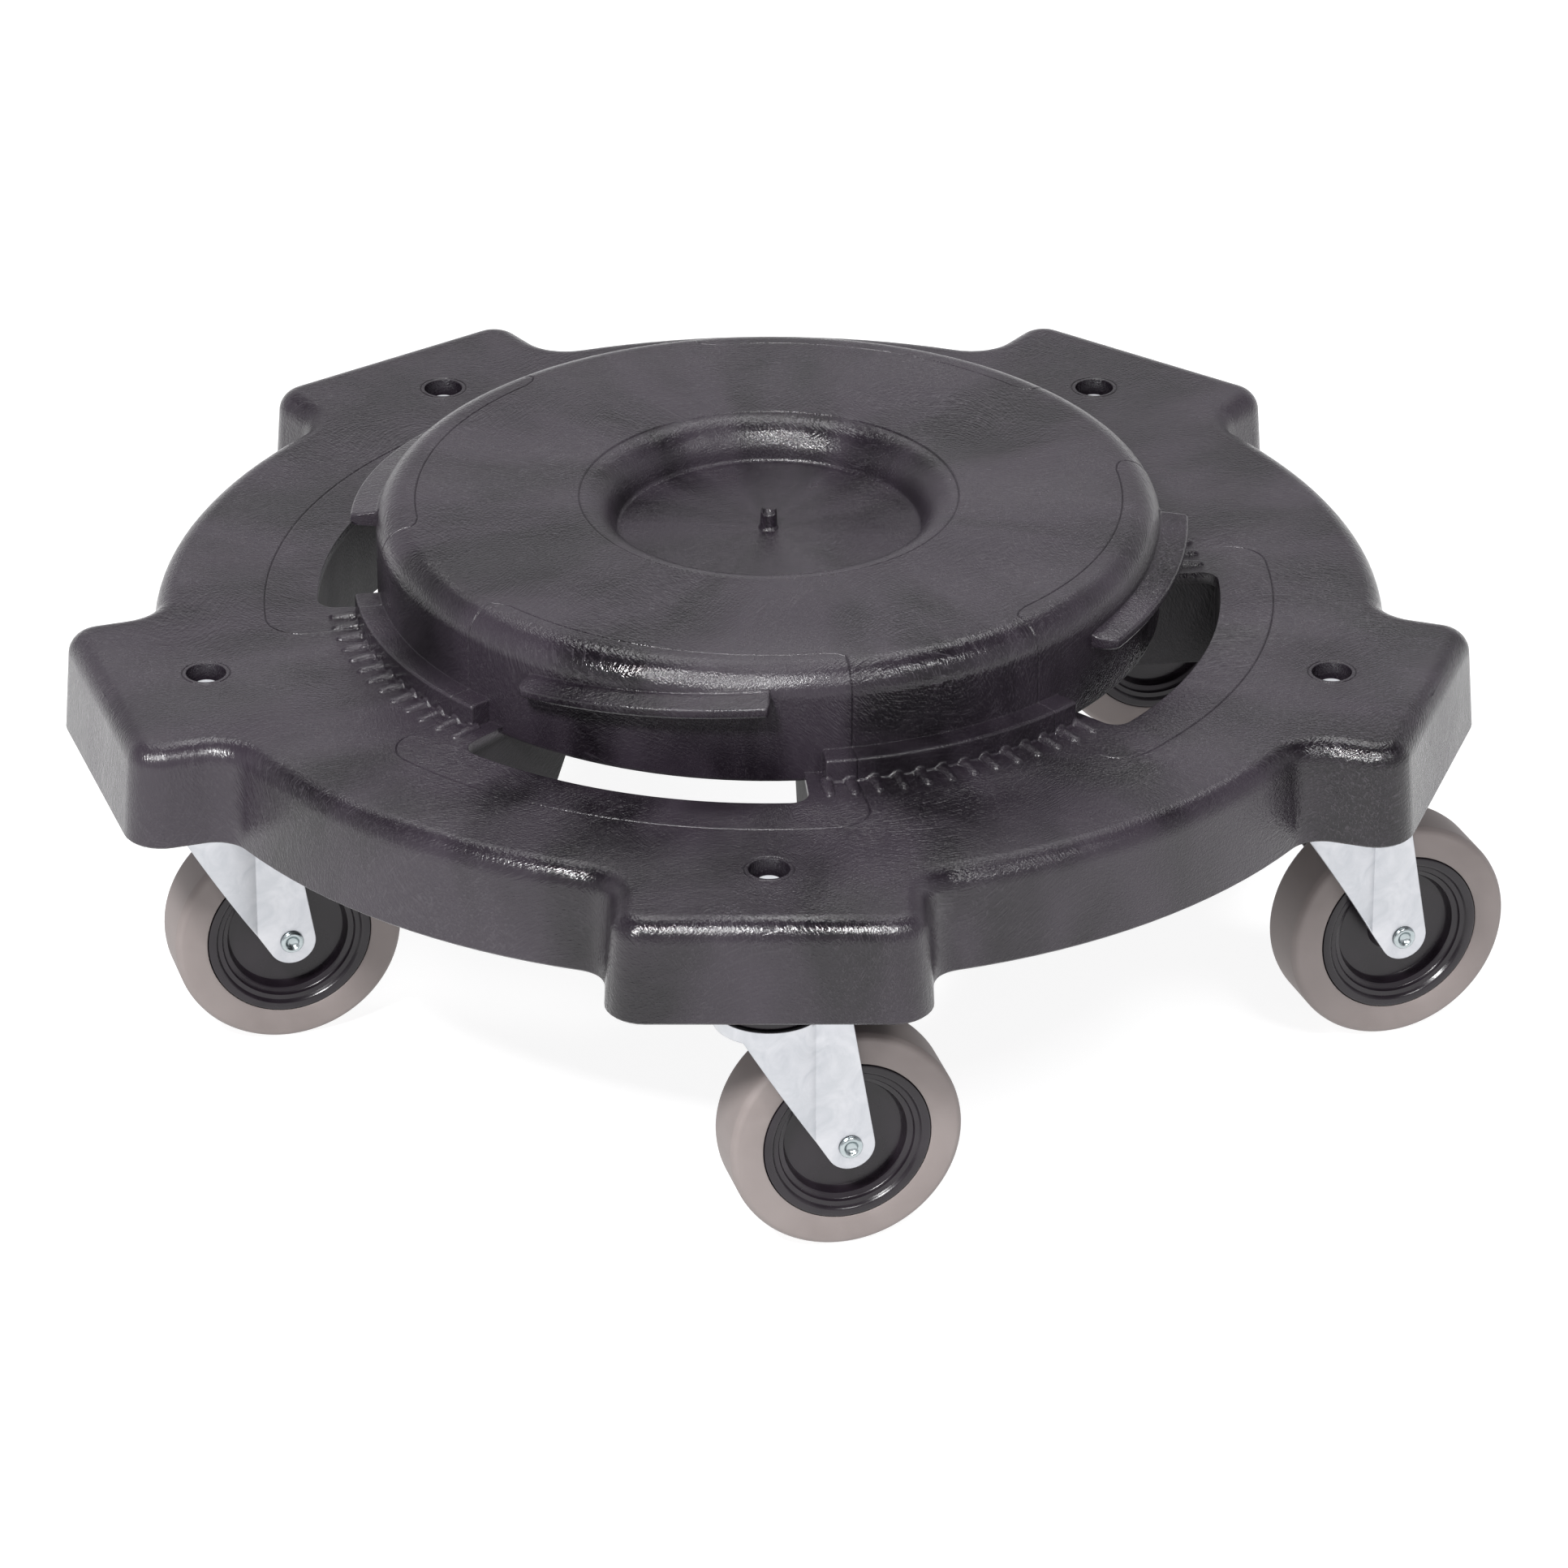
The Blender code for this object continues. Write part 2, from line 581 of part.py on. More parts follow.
for guide in cutters.all_objects:
    guide.hide_render = True
    guide.display_type = "WIRE"
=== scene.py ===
"""Looks for the round container dolly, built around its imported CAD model.

Metres, +Z up, in the CAD model's frame. Heights in the deck's section are measured from its flat ring,
and a caster's shapes stand on its swivel axis, with +X the way the wheel trails.
"""

import json
from math import asin, atan2, cos, pi, radians, sin, sqrt

import bmesh
import bpy
from mathutils import Matrix, Vector, noise

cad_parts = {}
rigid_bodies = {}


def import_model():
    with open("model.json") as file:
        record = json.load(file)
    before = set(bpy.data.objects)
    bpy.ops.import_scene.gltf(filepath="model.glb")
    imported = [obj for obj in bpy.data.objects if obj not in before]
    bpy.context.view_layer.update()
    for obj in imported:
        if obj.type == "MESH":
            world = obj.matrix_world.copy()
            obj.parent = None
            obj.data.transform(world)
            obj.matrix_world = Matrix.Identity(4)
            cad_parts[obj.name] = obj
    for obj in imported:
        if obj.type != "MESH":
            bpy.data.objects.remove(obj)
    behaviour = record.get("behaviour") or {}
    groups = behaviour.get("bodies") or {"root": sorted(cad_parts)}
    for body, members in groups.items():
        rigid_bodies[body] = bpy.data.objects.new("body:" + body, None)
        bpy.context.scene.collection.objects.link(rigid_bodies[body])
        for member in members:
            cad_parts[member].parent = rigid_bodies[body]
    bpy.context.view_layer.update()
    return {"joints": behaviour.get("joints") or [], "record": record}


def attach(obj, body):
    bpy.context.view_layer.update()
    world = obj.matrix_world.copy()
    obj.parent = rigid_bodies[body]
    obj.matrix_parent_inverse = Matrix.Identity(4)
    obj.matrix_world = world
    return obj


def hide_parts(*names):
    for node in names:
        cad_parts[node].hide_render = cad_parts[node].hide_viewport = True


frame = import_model()

CASTERS = ("front", "right", "back_right", "back_left", "left")

# Deck: ring, lobes and skirt.
RING_RADIUS = 0.2035
LOBE_REACH = 0.229
LOBE_HALF_WIDTH = 0.0495
LOBE_CORNER = 0.011
LOBE_FILLET = 0.013
LOBE_STEP = radians(72)
FIRST_LOBE = radians(-90)
SKIRT_BOTTOM = -0.0345
SKIRT_FLARE = 0.0018
PLATE = 0.004
RIM_ROUNDING = 0.0075
COLLAR_INSIDE = 0.1495
COLLAR_EDGE = 0.0006
SKIRT_EDGE = 0.0008

# Deck: disc and dish.
DISC_RADIUS = 0.1295
DISC_TOP = 0.0356
DISC_ROUNDING = 0.010
DISC_BOTTOM = -0.00275
DISH_LIP = 0.0623
DISH_FLOOR = 0.0505
DISH_DEPTH = 0.0125
DISC_SIDES = 144
DISC_MOUNT_X = 0.09
DISH_CORNER = 0.0012
DISH_SLOPE = radians(84)
DISH_STEP = 0.00015
DISH_STEP_RADIUS = 0.0355
GATE_RADIUS = 0.0029
GATE_HORN = 0.0020
GATE_SIDES = 32

# Deck: twist lock.
QUARTERS = 4
SLOT_MIDDLE = radians(-18.2)
SLOT_HALF_SPAN = radians(23.2)
SLOT_CORNER = 0.006
LUG_HALF_SPAN = radians(18.3)
LUG_REACH = 0.1382
LUG_HEIGHTS = (0.021, 0.025)
LUG_CLIMB = 0.006
LUG_FILLET = 0.0010
LEDGE_HALF_SPAN = radians(19.3)
LEDGE_REACH = 0.1375
LEDGE_TOP = 0.008
TEETH = 13
TOOTH_PITCH = radians(3.2)
TOOTH_END = 0.1465
TOOTH_HALF_WIDTH = 0.0021
TOOTH_ROOT = 0.0017
TOOTH_TIP = 0.0010
SEAM_HALF_SPAN = radians(30)
SEAM_REACH = 0.167
SEAM_CORNER = 0.012
SEAM_TOP_RADIUS = 0.1165
SEAM_TOP_CORNER = 0.006
SEAM_HALF_WIDTH = 0.00045
SEAM_DEPTH = 0.0005
BORE_RING_RADIUS = 0.0079
BORE_RING_WIDTH = 0.0004

# Deck: underside.
GUSSET_WALL = 0.004
GUSSET_INNER = 0.097
GUSSET_HEEL = 0.108
GUSSET_BOTTOM = -0.034
RIB_WALL = 0.003
RIB_BOTTOM = -0.030
BOSS_RADIUS = 0.014
BOSS_BOTTOM = -0.0383
BORE_RADIUS = 0.0066
BOLT_CIRCLE = 0.1925

# Casters.
TRAIL = 0.0227
RING_HEIGHT = 0.134
WHEEL_RADIUS = 0.0381
AXLE_HEIGHT = WHEEL_RADIUS - RING_HEIGHT
CROWN_TOP = -0.0487
CROWN_BOTTOM = -0.0521
CROWN_RADIUS = 0.0182
FORK_SKIRT_BOTTOM = -0.0535
FORK_WALL = 0.0022
LEG_FACE = 0.0143
LEG_END = 0.008
LEADING_SLOPE = 1.66
TRAILING_SLOPE = 0.165
GAP = 0.0003
STEM_RADIUS = 0.0048
STEM_NECK = 0.0040
STEM_FLANGE = 0.0130
GRIP_TOP = -0.0165
GRIP_BOTTOM = -0.0245
GRIP_SPLIT = radians(8)
CAP_TOP = -0.0410
WASHER_BOTTOM = -0.0538
PIN_HOLE = 0.0054
AXLE_HOLE = 0.0033
RACE_INSIDE = 0.0092
RACE_OUTSIDE = 0.0138
RACE_DEPTH = 0.0020
RACE_SLOPE = 0.0008
TUBE_EDGE = 0.0003
BALLS = 18
BALL_RADIUS = 0.0019
BALL_CIRCLE = 0.0115

# Tones: pairs run from one end of a material's variation to the other.
DECK_TONES = (0.0030, 0.0018, 0.0034), (0.0205, 0.0156, 0.0222)
DECK_CLOUD_TONE = (0.0220, 0.0172, 0.0236)
DECK_WORN_TONE = (0.058, 0.052, 0.060)
# Painted shade: the near-black that the walls inside the collar, under the ring, are darkened towards.
DECK_PAINTED_SHADE_TONE = (0.0016, 0.0012, 0.0016)
HUB_TONES = (0.0090, 0.0065, 0.0092), (0.0160, 0.0122, 0.0162)
TYRE_TONES = (0.172, 0.146, 0.139), (0.214, 0.186, 0.178)
ZINC_TONES = (0.435, 0.450, 0.478), (0.560, 0.565, 0.590)
ZINC_PALE_TONE = (0.58, 0.59, 0.60)
STEEL_TONES = (0.36, 0.41, 0.42), (0.50, 0.54, 0.55)
NYLON_TONES = (0.62, 0.60, 0.55), (0.72, 0.71, 0.66)
FLOOR_TONES = (0.30, 0.30, 0.30), (0.33, 0.33, 0.33)
WHITE = (1.0, 1.0, 1.0, 1.0)
BACKDROP_TONE = (0.98, 0.96, 1.0, 1.0)

# Stage. Heights on the backdrop are sines of the angle above the horizon, and the camera's places are
# measured from the deck's axis at its ring.
FLOOR_GLOW = 0.88
FADE_START = 0.50
FADE_END = 0.66
LOW_STRENGTH = 0.68
HIGH_STRENGTH = 0.12
CAMERA_OFFSET = Vector((0.0, -2.500312, 1.263389))
TARGET_OFFSET = Vector((0.005, 0.0, -0.073))
SENSOR_WIDTH = 36
LENS = 194

disc_mount = next(m for m in frame["record"]["mounts"] if m["name"] == "disc_top")
AXIS = Vector((disc_mount["pos_m"][0] - DISC_MOUNT_X, disc_mount["pos_m"][1], RING_HEIGHT))


# Mesh helpers


def arc(x, y, radius, start, end, steps):
    """Points along an arc about (x, y), both ends included."""
    angles = [start + (end - start) * step / steps for step in range(steps + 1)]
    return [(x + radius * cos(angle), y + radius * sin(angle)) for angle in angles]


def turn_point(point, angle):
    x, y = point
    return (x * cos(angle) - y * sin(angle), x * sin(angle) + y * cos(angle))


def collection_named(name, parent=None):
    made = bpy.data.collections.new(name)
    (parent or bpy.context.scene.collection).children.link(made)
    return made


pieces = collection_named("pieces")
cutters = collection_named("cutters")


def object_of(bm, name, collection):
    bmesh.ops.recalc_face_normals(bm, faces=bm.faces)
    mesh = bpy.data.meshes.new(name)
    bm.to_mesh(mesh)
    bm.free()
    made = bpy.data.objects.new(name, mesh)
    collection.objects.link(made)
    return made


def rings_mesh(name, rings, collection, loop=False):
    """A skin over rings of equal length, each joined to the next. The ends are capped or meet in a loop."""
    bm = bmesh.new()
    rows = [[bm.verts.new(p) for p in ring] for ring in rings]
    count = len(rows[0])
    pairs = list(zip(rows, rows[1:])) + ([(rows[-1], rows[0])] if loop else [])
    for one, other in pairs:
        for i in range(count):
            j = (i + 1) % count
            bm.faces.new((one[i], one[j], other[j], other[i]))
    if not loop:
        bm.faces.new(rows[0])
        bm.faces.new(rows[-1])
    return object_of(bm, name, collection)


def revolved(name, profile, sides, collection, closed=False):
    """A profile of (radius, height) turned about Z. Points at radius 0 become one vertex."""
    bm = bmesh.new()
    rows = []
    for r, z in profile:
        if r < 1e-7:
            rows.append([bm.verts.new((0, 0, z))])
        else:
            angles = [2 * pi * (step + 0.5) / sides for step in range(sides)]
            rows.append([bm.verts.new((r * cos(a), r * sin(a), z)) for a in angles])
    pairs = list(zip(rows, rows[1:])) + ([(rows[-1], rows[0])] if closed else [])
    for one, other in pairs:
        for i in range(sides):
            j = (i + 1) % sides
            corners = [one[i % len(one)], one[j % len(one)], other[j % len(other)], other[i % len(other)]]
            corners = list(dict.fromkeys(corners))
            if len(corners) > 2:
                bm.faces.new(corners)
    return object_of(bm, name, collection)


def prism(name, outline, bottom, top, collection, rounding=0.0, segments=1):
    bm = bmesh.new()
    low = [bm.verts.new((x, y, bottom)) for x, y in outline]
    high = [bm.verts.new((x, y, top)) for x, y in outline]
    bm.faces.new(low)
    bm.faces.new(high)
    for i in range(len(outline)):
        j = (i + 1) % len(outline)
        bm.faces.new((low[i], low[j], high[j], high[i]))
    if rounding:
        far = set(high)
        rim = [edge for edge in bm.edges if far.issuperset(edge.verts)]
        bmesh.ops.bevel(bm, geom=rim, offset=rounding, segments=segments, profile=0.5, affect="EDGES")
    return object_of(bm, name, collection)


def box(name, low, high, collection):
    outline = [(low[0], low[1]), (high[0], low[1]), (high[0], high[1]), (low[0], high[1])]
    return prism(name, outline, low[2], high[2], collection)


def cylinder(name, radius, top, bottom, sides, collection):
    return revolved(name, [(0, top), (radius, top), (radius, bottom), (0, bottom)], sides, collection)


def boolean(obj, operation, other):
    modifier = obj.modifiers.new(operation.lower(), "BOOLEAN")
    modifier.operation = operation
    modifier.solver = "MANIFOLD"
    if isinstance(other, bpy.types.Collection):
        modifier.operand_type = "COLLECTION"
        modifier.collection = other
    else:
        modifier.object = other


def baked(form, material, sharp=20.0):
    """The mesh that a form's modifiers make, smooth but for its real edges."""
    bpy.context.view_layer.update()
    graph = bpy.context.evaluated_depsgraph_get()
    mesh = bpy.data.meshes.new_from_object(form.evaluated_get(graph))
    for used in list(cutters.all_objects):
        bpy.data.objects.remove(used, do_unlink=True)
    mesh.materials.clear()
    mesh.materials.append(material)
    mesh.shade_smooth()
    mesh.set_sharp_from_angle(angle=radians(sharp))
    return mesh


def piece(name, mesh, body, node, matrix):
    """One visible piece, standing for a CAD node and riding on its body."""
    made = bpy.data.objects.new(name, mesh)
    made.matrix_world = matrix
    pieces.objects.link(made)
    weight = made.modifiers.new("even_shading", "WEIGHTED_NORMAL")
    weight.keep_sharp = True
    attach(made, body)
    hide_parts(node)
    return made


# Materials


class Nodes:
    """Shorthand for building one material's node tree."""

    def __init__(self, name):
        self.material = bpy.data.materials.new(name)
        self.material.use_nodes = True
        self.tree = self.material.node_tree
        self.shader = self.tree.nodes["Principled BSDF"]

    def add(self, kind, inputs=(), **settings):
        made = self.tree.nodes.new(kind)
        for key, value in settings.items():
            setattr(made, key, value)
        for key, value in dict(inputs).items():
            self.put(made.inputs[key], value)
        return made

    def put(self, socket, value):
        if isinstance(value, bpy.types.NodeSocket):
            self.tree.links.new(value, socket)
        else:
            socket.default_value = value

    def math(self, operation, a, b):
        return self.add("ShaderNodeMath", {0: a, 1: b}, operation=operation).outputs[0]

    def place(self):
        return self.add("ShaderNodeTexCoord").outputs["Object"]

    def noise(self, vector, scale, detail=3.0, roughness=0.5, distortion=0.0):
        inputs = {"Vector": vector, "Scale": scale, "Detail": detail}
        inputs.update({"Roughness": roughness, "Distortion": distortion})
        return self.add("ShaderNodeTexNoise", inputs).outputs["Fac"]

    def spread(self, value, low, high, to_low=0.0, to_high=1.0):
        inputs = {0: value, 1: low, 2: high, 3: to_low, 4: to_high}
        return self.add("ShaderNodeMapRange", inputs, clamp=True).outputs[0]

    def mixed(self, factor, one, other):
        made = self.add("ShaderNodeMix", data_type="RGBA")
        self.put(made.inputs["Factor"], factor)
        self.put(made.inputs["A"], (*one, 1) if isinstance(one, tuple) else one)
        self.put(made.inputs["B"], (*other, 1) if isinstance(other, tuple) else other)
        return made.outputs["Result"]

    def tint(self, value, low, high, tones):
        """The base colour: the first tone where a value is low, the second where it is high."""
        self.put(self.shader.inputs["Base Color"], self.mixed(self.spread(value, low, high), *tones))

    def bump(self, height, strength, distance, normal=None):
        inputs = {"Height": height, "Strength": strength, "Distance": distance}
        if normal is not None:
            inputs["Normal"] = normal
        return self.add("ShaderNodeBump", inputs).outputs[0]


def scratches(nodes, place, heading, pitch, fineness, stretch):
    """Fine hairlines that swirl: noise drawn out along one way, its coordinates bent by broad noise."""
    bend = nodes.add("ShaderNodeTexNoise", {"Vector": place, "Scale": 11.0, "Detail": 1.0})
    centred = {0: bend.outputs["Color"], 1: (0.5, 0.5, 0.5)}
    shift = nodes.add("ShaderNodeVectorMath", centred, operation="SUBTRACT")
    scaled = nodes.add("ShaderNodeVectorMath", {0: shift.outputs[0], "Scale": 0.09}, operation="SCALE")
    moved = nodes.add("ShaderNodeVectorMath", {0: place, 1: scaled.outputs[0]}, operation="ADD")
    inputs = {"Vector": moved.outputs[0], "Rotation": (0, pitch, heading)}
    inputs["Scale"] = (1.0, 1.0 / stretch, 1.0 / stretch)
    laid = nodes.add("ShaderNodeMapping", inputs, vector_type="TEXTURE").outputs[0]
    return nodes.noise(laid, fineness, 2.0, 0.6)


def from_axis(nodes, place):
    """A point's level offset from the deck's axis, and how long that is."""
    flat = nodes.add("ShaderNodeVectorMath", {0: place, 1: (1, 1, 0)}, operation="MULTIPLY").outputs[0]
    return flat, nodes.add("ShaderNodeVectorMath", {0: flat}, operation="LENGTH").outputs["Value"]


def flow_marks(nodes, place):
    """Where molten plastic flowed out from the middle: noise that changes round the axis, hardly along it."""
    flat, far = from_axis(nodes, place)
    away = nodes.add("ShaderNodeVectorMath", {0: flat}, operation="NORMALIZE").outputs[0]
    slow = nodes.add("ShaderNodeVectorMath", {0: place, "Scale": 5.0}, operation="SCALE").outputs[0]
    mixed = nodes.add("ShaderNodeVectorMath", {0: away, 1: slow}, operation="ADD").outputs[0]
    level = nodes.math("SUBTRACT", nodes.noise(mixed, 2.3, 2.0, 0.5, 0.1), 0.5)
    return nodes.math("ADD", nodes.math("MULTIPLY", level, nodes.spread(far, 0.03, 0.08, 0.35, 1.0)), 0.5)


def shaded_inner_walls(nodes, place):
    """1 on the walls below the ring inside the collar, which are made matt and darkened with painted shade,
    and 0 elsewhere.
    """
    far = from_axis(nodes, place)[1]
    height = nodes.add("ShaderNodeSeparateXYZ", {0: place}).outputs["Z"]
    within = nodes.spread(far, COLLAR_INSIDE + 0.0008, COLLAR_INSIDE + 0.0002)
    return nodes.math("MULTIPLY", within, nodes.spread(height, -0.0015, -0.0035))


def deck_material():
    n = Nodes("deck_moulded_plastic")
    place = n.place()
    broad = n.noise(place, 11.0, 4.0, 0.6, 0.8)
    cloud = n.noise(place, 34.0, 5.0, 0.65, 1.2)
    grain = n.noise(place, 1100.0, 2.0, 0.5)
    flow = flow_marks(n, place)
    first = scratches(n, place, 0.6, -0.25, 95.0, 15.0)
    second = scratches(n, place, 2.25, -0.67, 85.0, 17.0)
    third = scratches(n, place, -0.9, -0.95, 110.0, 13.0)
    lines = n.math("MAXIMUM", n.spread(first, 0.56, 0.72), n.spread(second, 0.56, 0.72))
    lines = n.math("MAXIMUM", lines, n.spread(third, 0.58, 0.74))
    worn = n.math("MULTIPLY", lines, n.spread(broad, 0.36, 0.62, 0.15, 1.0))
    tone = n.mixed(n.spread(flow, 0.40, 0.60), *DECK_TONES)
    tone = n.mixed(n.spread(cloud, 0.42, 0.75, 0.0, 0.45), tone, DECK_CLOUD_TONE)
    tone = n.mixed(n.math("MULTIPLY", worn, 0.50), tone, DECK_WORN_TONE)
    inside = shaded_inner_walls(n, place)
    # Painted shade: darkens the walls inside the collar, under the ring, as though the deck shaded them.
    tone = n.mixed(n.math("MULTIPLY", inside, 0.7), tone, DECK_PAINTED_SHADE_TONE)
    n.put(n.shader.inputs["Base Color"], tone)
    rough = n.math("ADD", n.spread(cloud, 0.3, 0.75, 0.172, 0.252), n.spread(flow, 0.38, 0.62, -0.03, 0.06))
    rough = n.math("ADD", rough, n.math("MULTIPLY", inside, 0.40))
    n.put(n.shader.inputs["Roughness"], n.math("SUBTRACT", rough, n.math("MULTIPLY", worn, 0.08)))
    n.shader.inputs["Specular IOR Level"].default_value = 0.5
    edge = n.add("ShaderNodeBevel", {"Radius": 0.0006}, samples=4).outputs[0]
    hair = n.math("ADD", n.math("ADD", first, second), third)
    fine = n.bump(hair, 0.25, 0.0008, edge)
    fine = n.bump(grain, 0.08, 0.0003, fine)
    n.put(n.shader.inputs["Normal"], n.bump(cloud, 0.07, 0.003, fine))
    return n.material


def hub_material():
    n = Nodes("hub_moulded_plastic")
    place = n.place()
    cloud = n.noise(place, 60.0, 3.0)
    grain = n.noise(place, 1400.0, 2.0)
    n.tint(cloud, 0.35, 0.7, HUB_TONES)
    n.put(n.shader.inputs["Roughness"], n.spread(cloud, 0.3, 0.7, 0.24, 0.32))
    n.shader.inputs["Specular IOR Level"].default_value = 0.42
    n.put(n.shader.inputs["Normal"], n.bump(grain, 0.08, 0.0003))
    return n.material


def tyre_material():
    n = Nodes("tyre_grey_rubber")
    place = n.place()
    broad = n.noise(place, 30.0, 3.0, 0.6, 0.5)
    fine = n.noise(place, 420.0, 4.0, 0.6)
    n.tint(broad, 0.3, 0.7, TYRE_TONES)
    n.put(n.shader.inputs["Roughness"], n.spread(broad, 0.3, 0.7, 0.55, 0.68))
    n.put(n.shader.inputs["Normal"], n.bump(fine, 0.10, 0.0005))
    return n.material


def zinc_material(name, metallic):
    n = Nodes(name)
    place = n.place()
    cloud = n.noise(place, 90.0, 5.0, 0.62, 1.0)
    broad = n.noise(place, 22.0, 2.0)
    tone = n.mixed(n.spread(cloud, 0.3, 0.72), *ZINC_TONES)
    tone = n.mixed(n.spread(broad, 0.4, 0.7, 0.0, 0.5), tone, ZINC_PALE_TONE)
    n.put(n.shader.inputs["Base Color"], tone)
    n.shader.inputs["Metallic"].default_value = metallic
    n.put(n.shader.inputs["Roughness"], n.spread(cloud, 0.3, 0.72, 0.40, 0.30))
    edge = n.add("ShaderNodeBevel", {"Radius": 0.0005}, samples=4).outputs[0]
    n.put(n.shader.inputs["Normal"], n.bump(cloud, 0.10, 0.0008, edge))
    return n.material


def steel_material():
    n = Nodes("bright_steel")
    place = n.place()
    cloud = n.noise(place, 160.0, 4.0)
    n.tint(cloud, 0.3, 0.7, STEEL_TONES)
    n.shader.inputs["Metallic"].default_value = 1.0
    n.put(n.shader.inputs["Roughness"], n.spread(cloud, 0.3, 0.7, 0.20, 0.32))
    n.put(n.shader.inputs["Normal"], n.bump(cloud, 0.08, 0.0004))
    return n.material


def nylon_material():
    n = Nodes("white_nylon")
    place = n.place()
    cloud = n.noise(place, 120.0, 3.0)
    n.tint(cloud, 0.3, 0.7, NYLON_TONES)
    n.shader.inputs["Roughness"].default_value = 0.5
    n.put(n.shader.inputs["Normal"], n.bump(cloud, 0.06, 0.0004))
    return n.material


# Deck


def deck_outline(inset):
    """The deck from above, with the same count of points at every inset."""
    ring, reach, half = RING_RADIUS - inset, LOBE_REACH - inset, LOBE_HALF_WIDTH - inset
    corner, fillet = LOBE_CORNER - inset, LOBE_FILLET + inset
    fillet_y = half + fillet
    fillet_x = sqrt((ring + fillet) ** 2 - fillet_y**2)
    lean = atan2(fillet_y, fillet_x)
    lobe = arc(fillet_x, -fillet_y, fillet, pi - lean, pi / 2, 8)
    lobe += arc(reach - corner, corner - half, corner, -pi / 2, 0, 8)
    lobe += arc(reach - corner, half - corner, corner, 0, pi / 2, 8)
    lobe += arc(fillet_x, fillet_y, fillet, -pi / 2, lean - pi, 8)
    lobe += arc(0, 0, ring, lean, LOBE_STEP - lean, 16)[1:-1]
    turns = [FIRST_LOBE + index * LOBE_STEP for index in range(len(CASTERS))]
    return [turn_point(point, turn) for turn in turns for point in lobe]


def tray_form():
    """Ring and skirt as one skin: up the skirt, over the rim, and back down inside."""
    edge = SKIRT_EDGE
    outer = [(edge - SKIRT_FLARE, SKIRT_BOTTOM), (-SKIRT_FLARE, SKIRT_BOTTOM + edge)]
    outer += [(RIM_ROUNDING + x, z - RIM_ROUNDING) for x, z in arc(0, 0, RIM_ROUNDING, pi, pi / 2, 8)]
    inner = [(PLATE - edge - SKIRT_FLARE, SKIRT_BOTTOM), (PLATE - SKIRT_FLARE, SKIRT_BOTTOM + edge)]
    inner += [(PLATE, -PLATE - 0.002), (PLATE + 0.002, -PLATE)]
    levels = inner[::-1] + outer
    rings = [[(x, y, z) for x, y in deck_outline(inset)] for inset, z in levels]
    return rings_mesh("tray", rings, cutters)


def disc_profile():
    """The disc's section, from the middle of the dish outward and back underneath."""
    under = DISC_TOP - PLATE
    floor = DISC_TOP - DISH_DEPTH
    shoulder = DISC_RADIUS - DISC_ROUNDING
    inside = DISC_RADIUS - PLATE
    low = floor - DISH_STEP
    heel = DISH_FLOOR - DISH_CORNER
    profile = [(0, floor), (0.012, floor), (DISH_STEP_RADIUS, floor), (DISH_STEP_RADIUS + 0.0007, low)]
    profile += [(heel, low)]
    profile += arc(heel, low + DISH_CORNER, DISH_CORNER, -pi / 2, radians(-12), 5)[1:]
    foot, fall = DISH_FLOOR + 0.0001, DISH_DEPTH - 0.0014
    for step in range(15):
        angle = DISH_SLOPE * (1 - step / 14)
        along = (1 - sin(angle) / sin(DISH_SLOPE)) * (DISH_LIP - foot)
        down = (1 - cos(angle)) / (1 - cos(DISH_SLOPE)) * fall
        profile.append((foot + along, DISC_TOP - 0.0002 - down))
    profile += [(DISH_LIP + 0.0003, DISC_TOP - 0.0005), (DISH_LIP + 0.0007, DISC_TOP)]
    profile += [(DISH_LIP + 0.02, DISC_TOP), (SEAM_TOP_RADIUS - 0.003, DISC_TOP)]
    profile += arc(shoulder, DISC_TOP - DISC_ROUNDING, DISC_ROUNDING, pi / 2, 0, 12)
    aside = (DISH_LIP - DISH_FLOOR) / 4
    profile += [(DISC_RADIUS, DISC_BOTTOM), (inside, DISC_BOTTOM), (inside, DISC_TOP - DISC_ROUNDING)]
    profile += [(inside - 0.002, under - 0.002), (shoulder, under), (DISH_LIP + aside, under)]
    profile += [(DISH_FLOOR + aside, floor - PLATE)]
    return profile + [(0, floor - PLATE)]


def rounded_end(outer, corner, half, steps):
    """The outer side of a ring's sector, from one end to the other, with both corners rounded."""
    lean = asin(corner / (outer - corner))
    reach = sqrt((outer - corner) ** 2 - corner**2)
    first = turn_point((reach, corner), -half)
    last = turn_point((reach, -corner), half)
    points = arc(*first, corner, -half - pi / 2, lean - half, 8)
    points += arc(0, 0, outer, lean - half, half - lean, steps)[1:-1]
    return points + arc(*last, corner, half - lean, half + pi / 2, 8)


def slot_outline(middle):
    """A slot from above, from under the disc's edge out to the collar."""
    inner = DISC_RADIUS - 2 * PLATE
    points = [turn_point((inner, 0), -SLOT_HALF_SPAN)]
    points += rounded_end(COLLAR_INSIDE, SLOT_CORNER, SLOT_HALF_SPAN, 24)
    points += [turn_point((inner, 0), SLOT_HALF_SPAN)]
    return [turn_point(point, middle) for point in points]


def swept(name, sections, collection):
    """A solid over sections, each (angle, [(radius, height), ...])."""
    rings = [[(r * cos(angle), r * sin(angle), z) for r, z in section] for angle, section in sections]
    return rings_mesh(name, rings, collection)


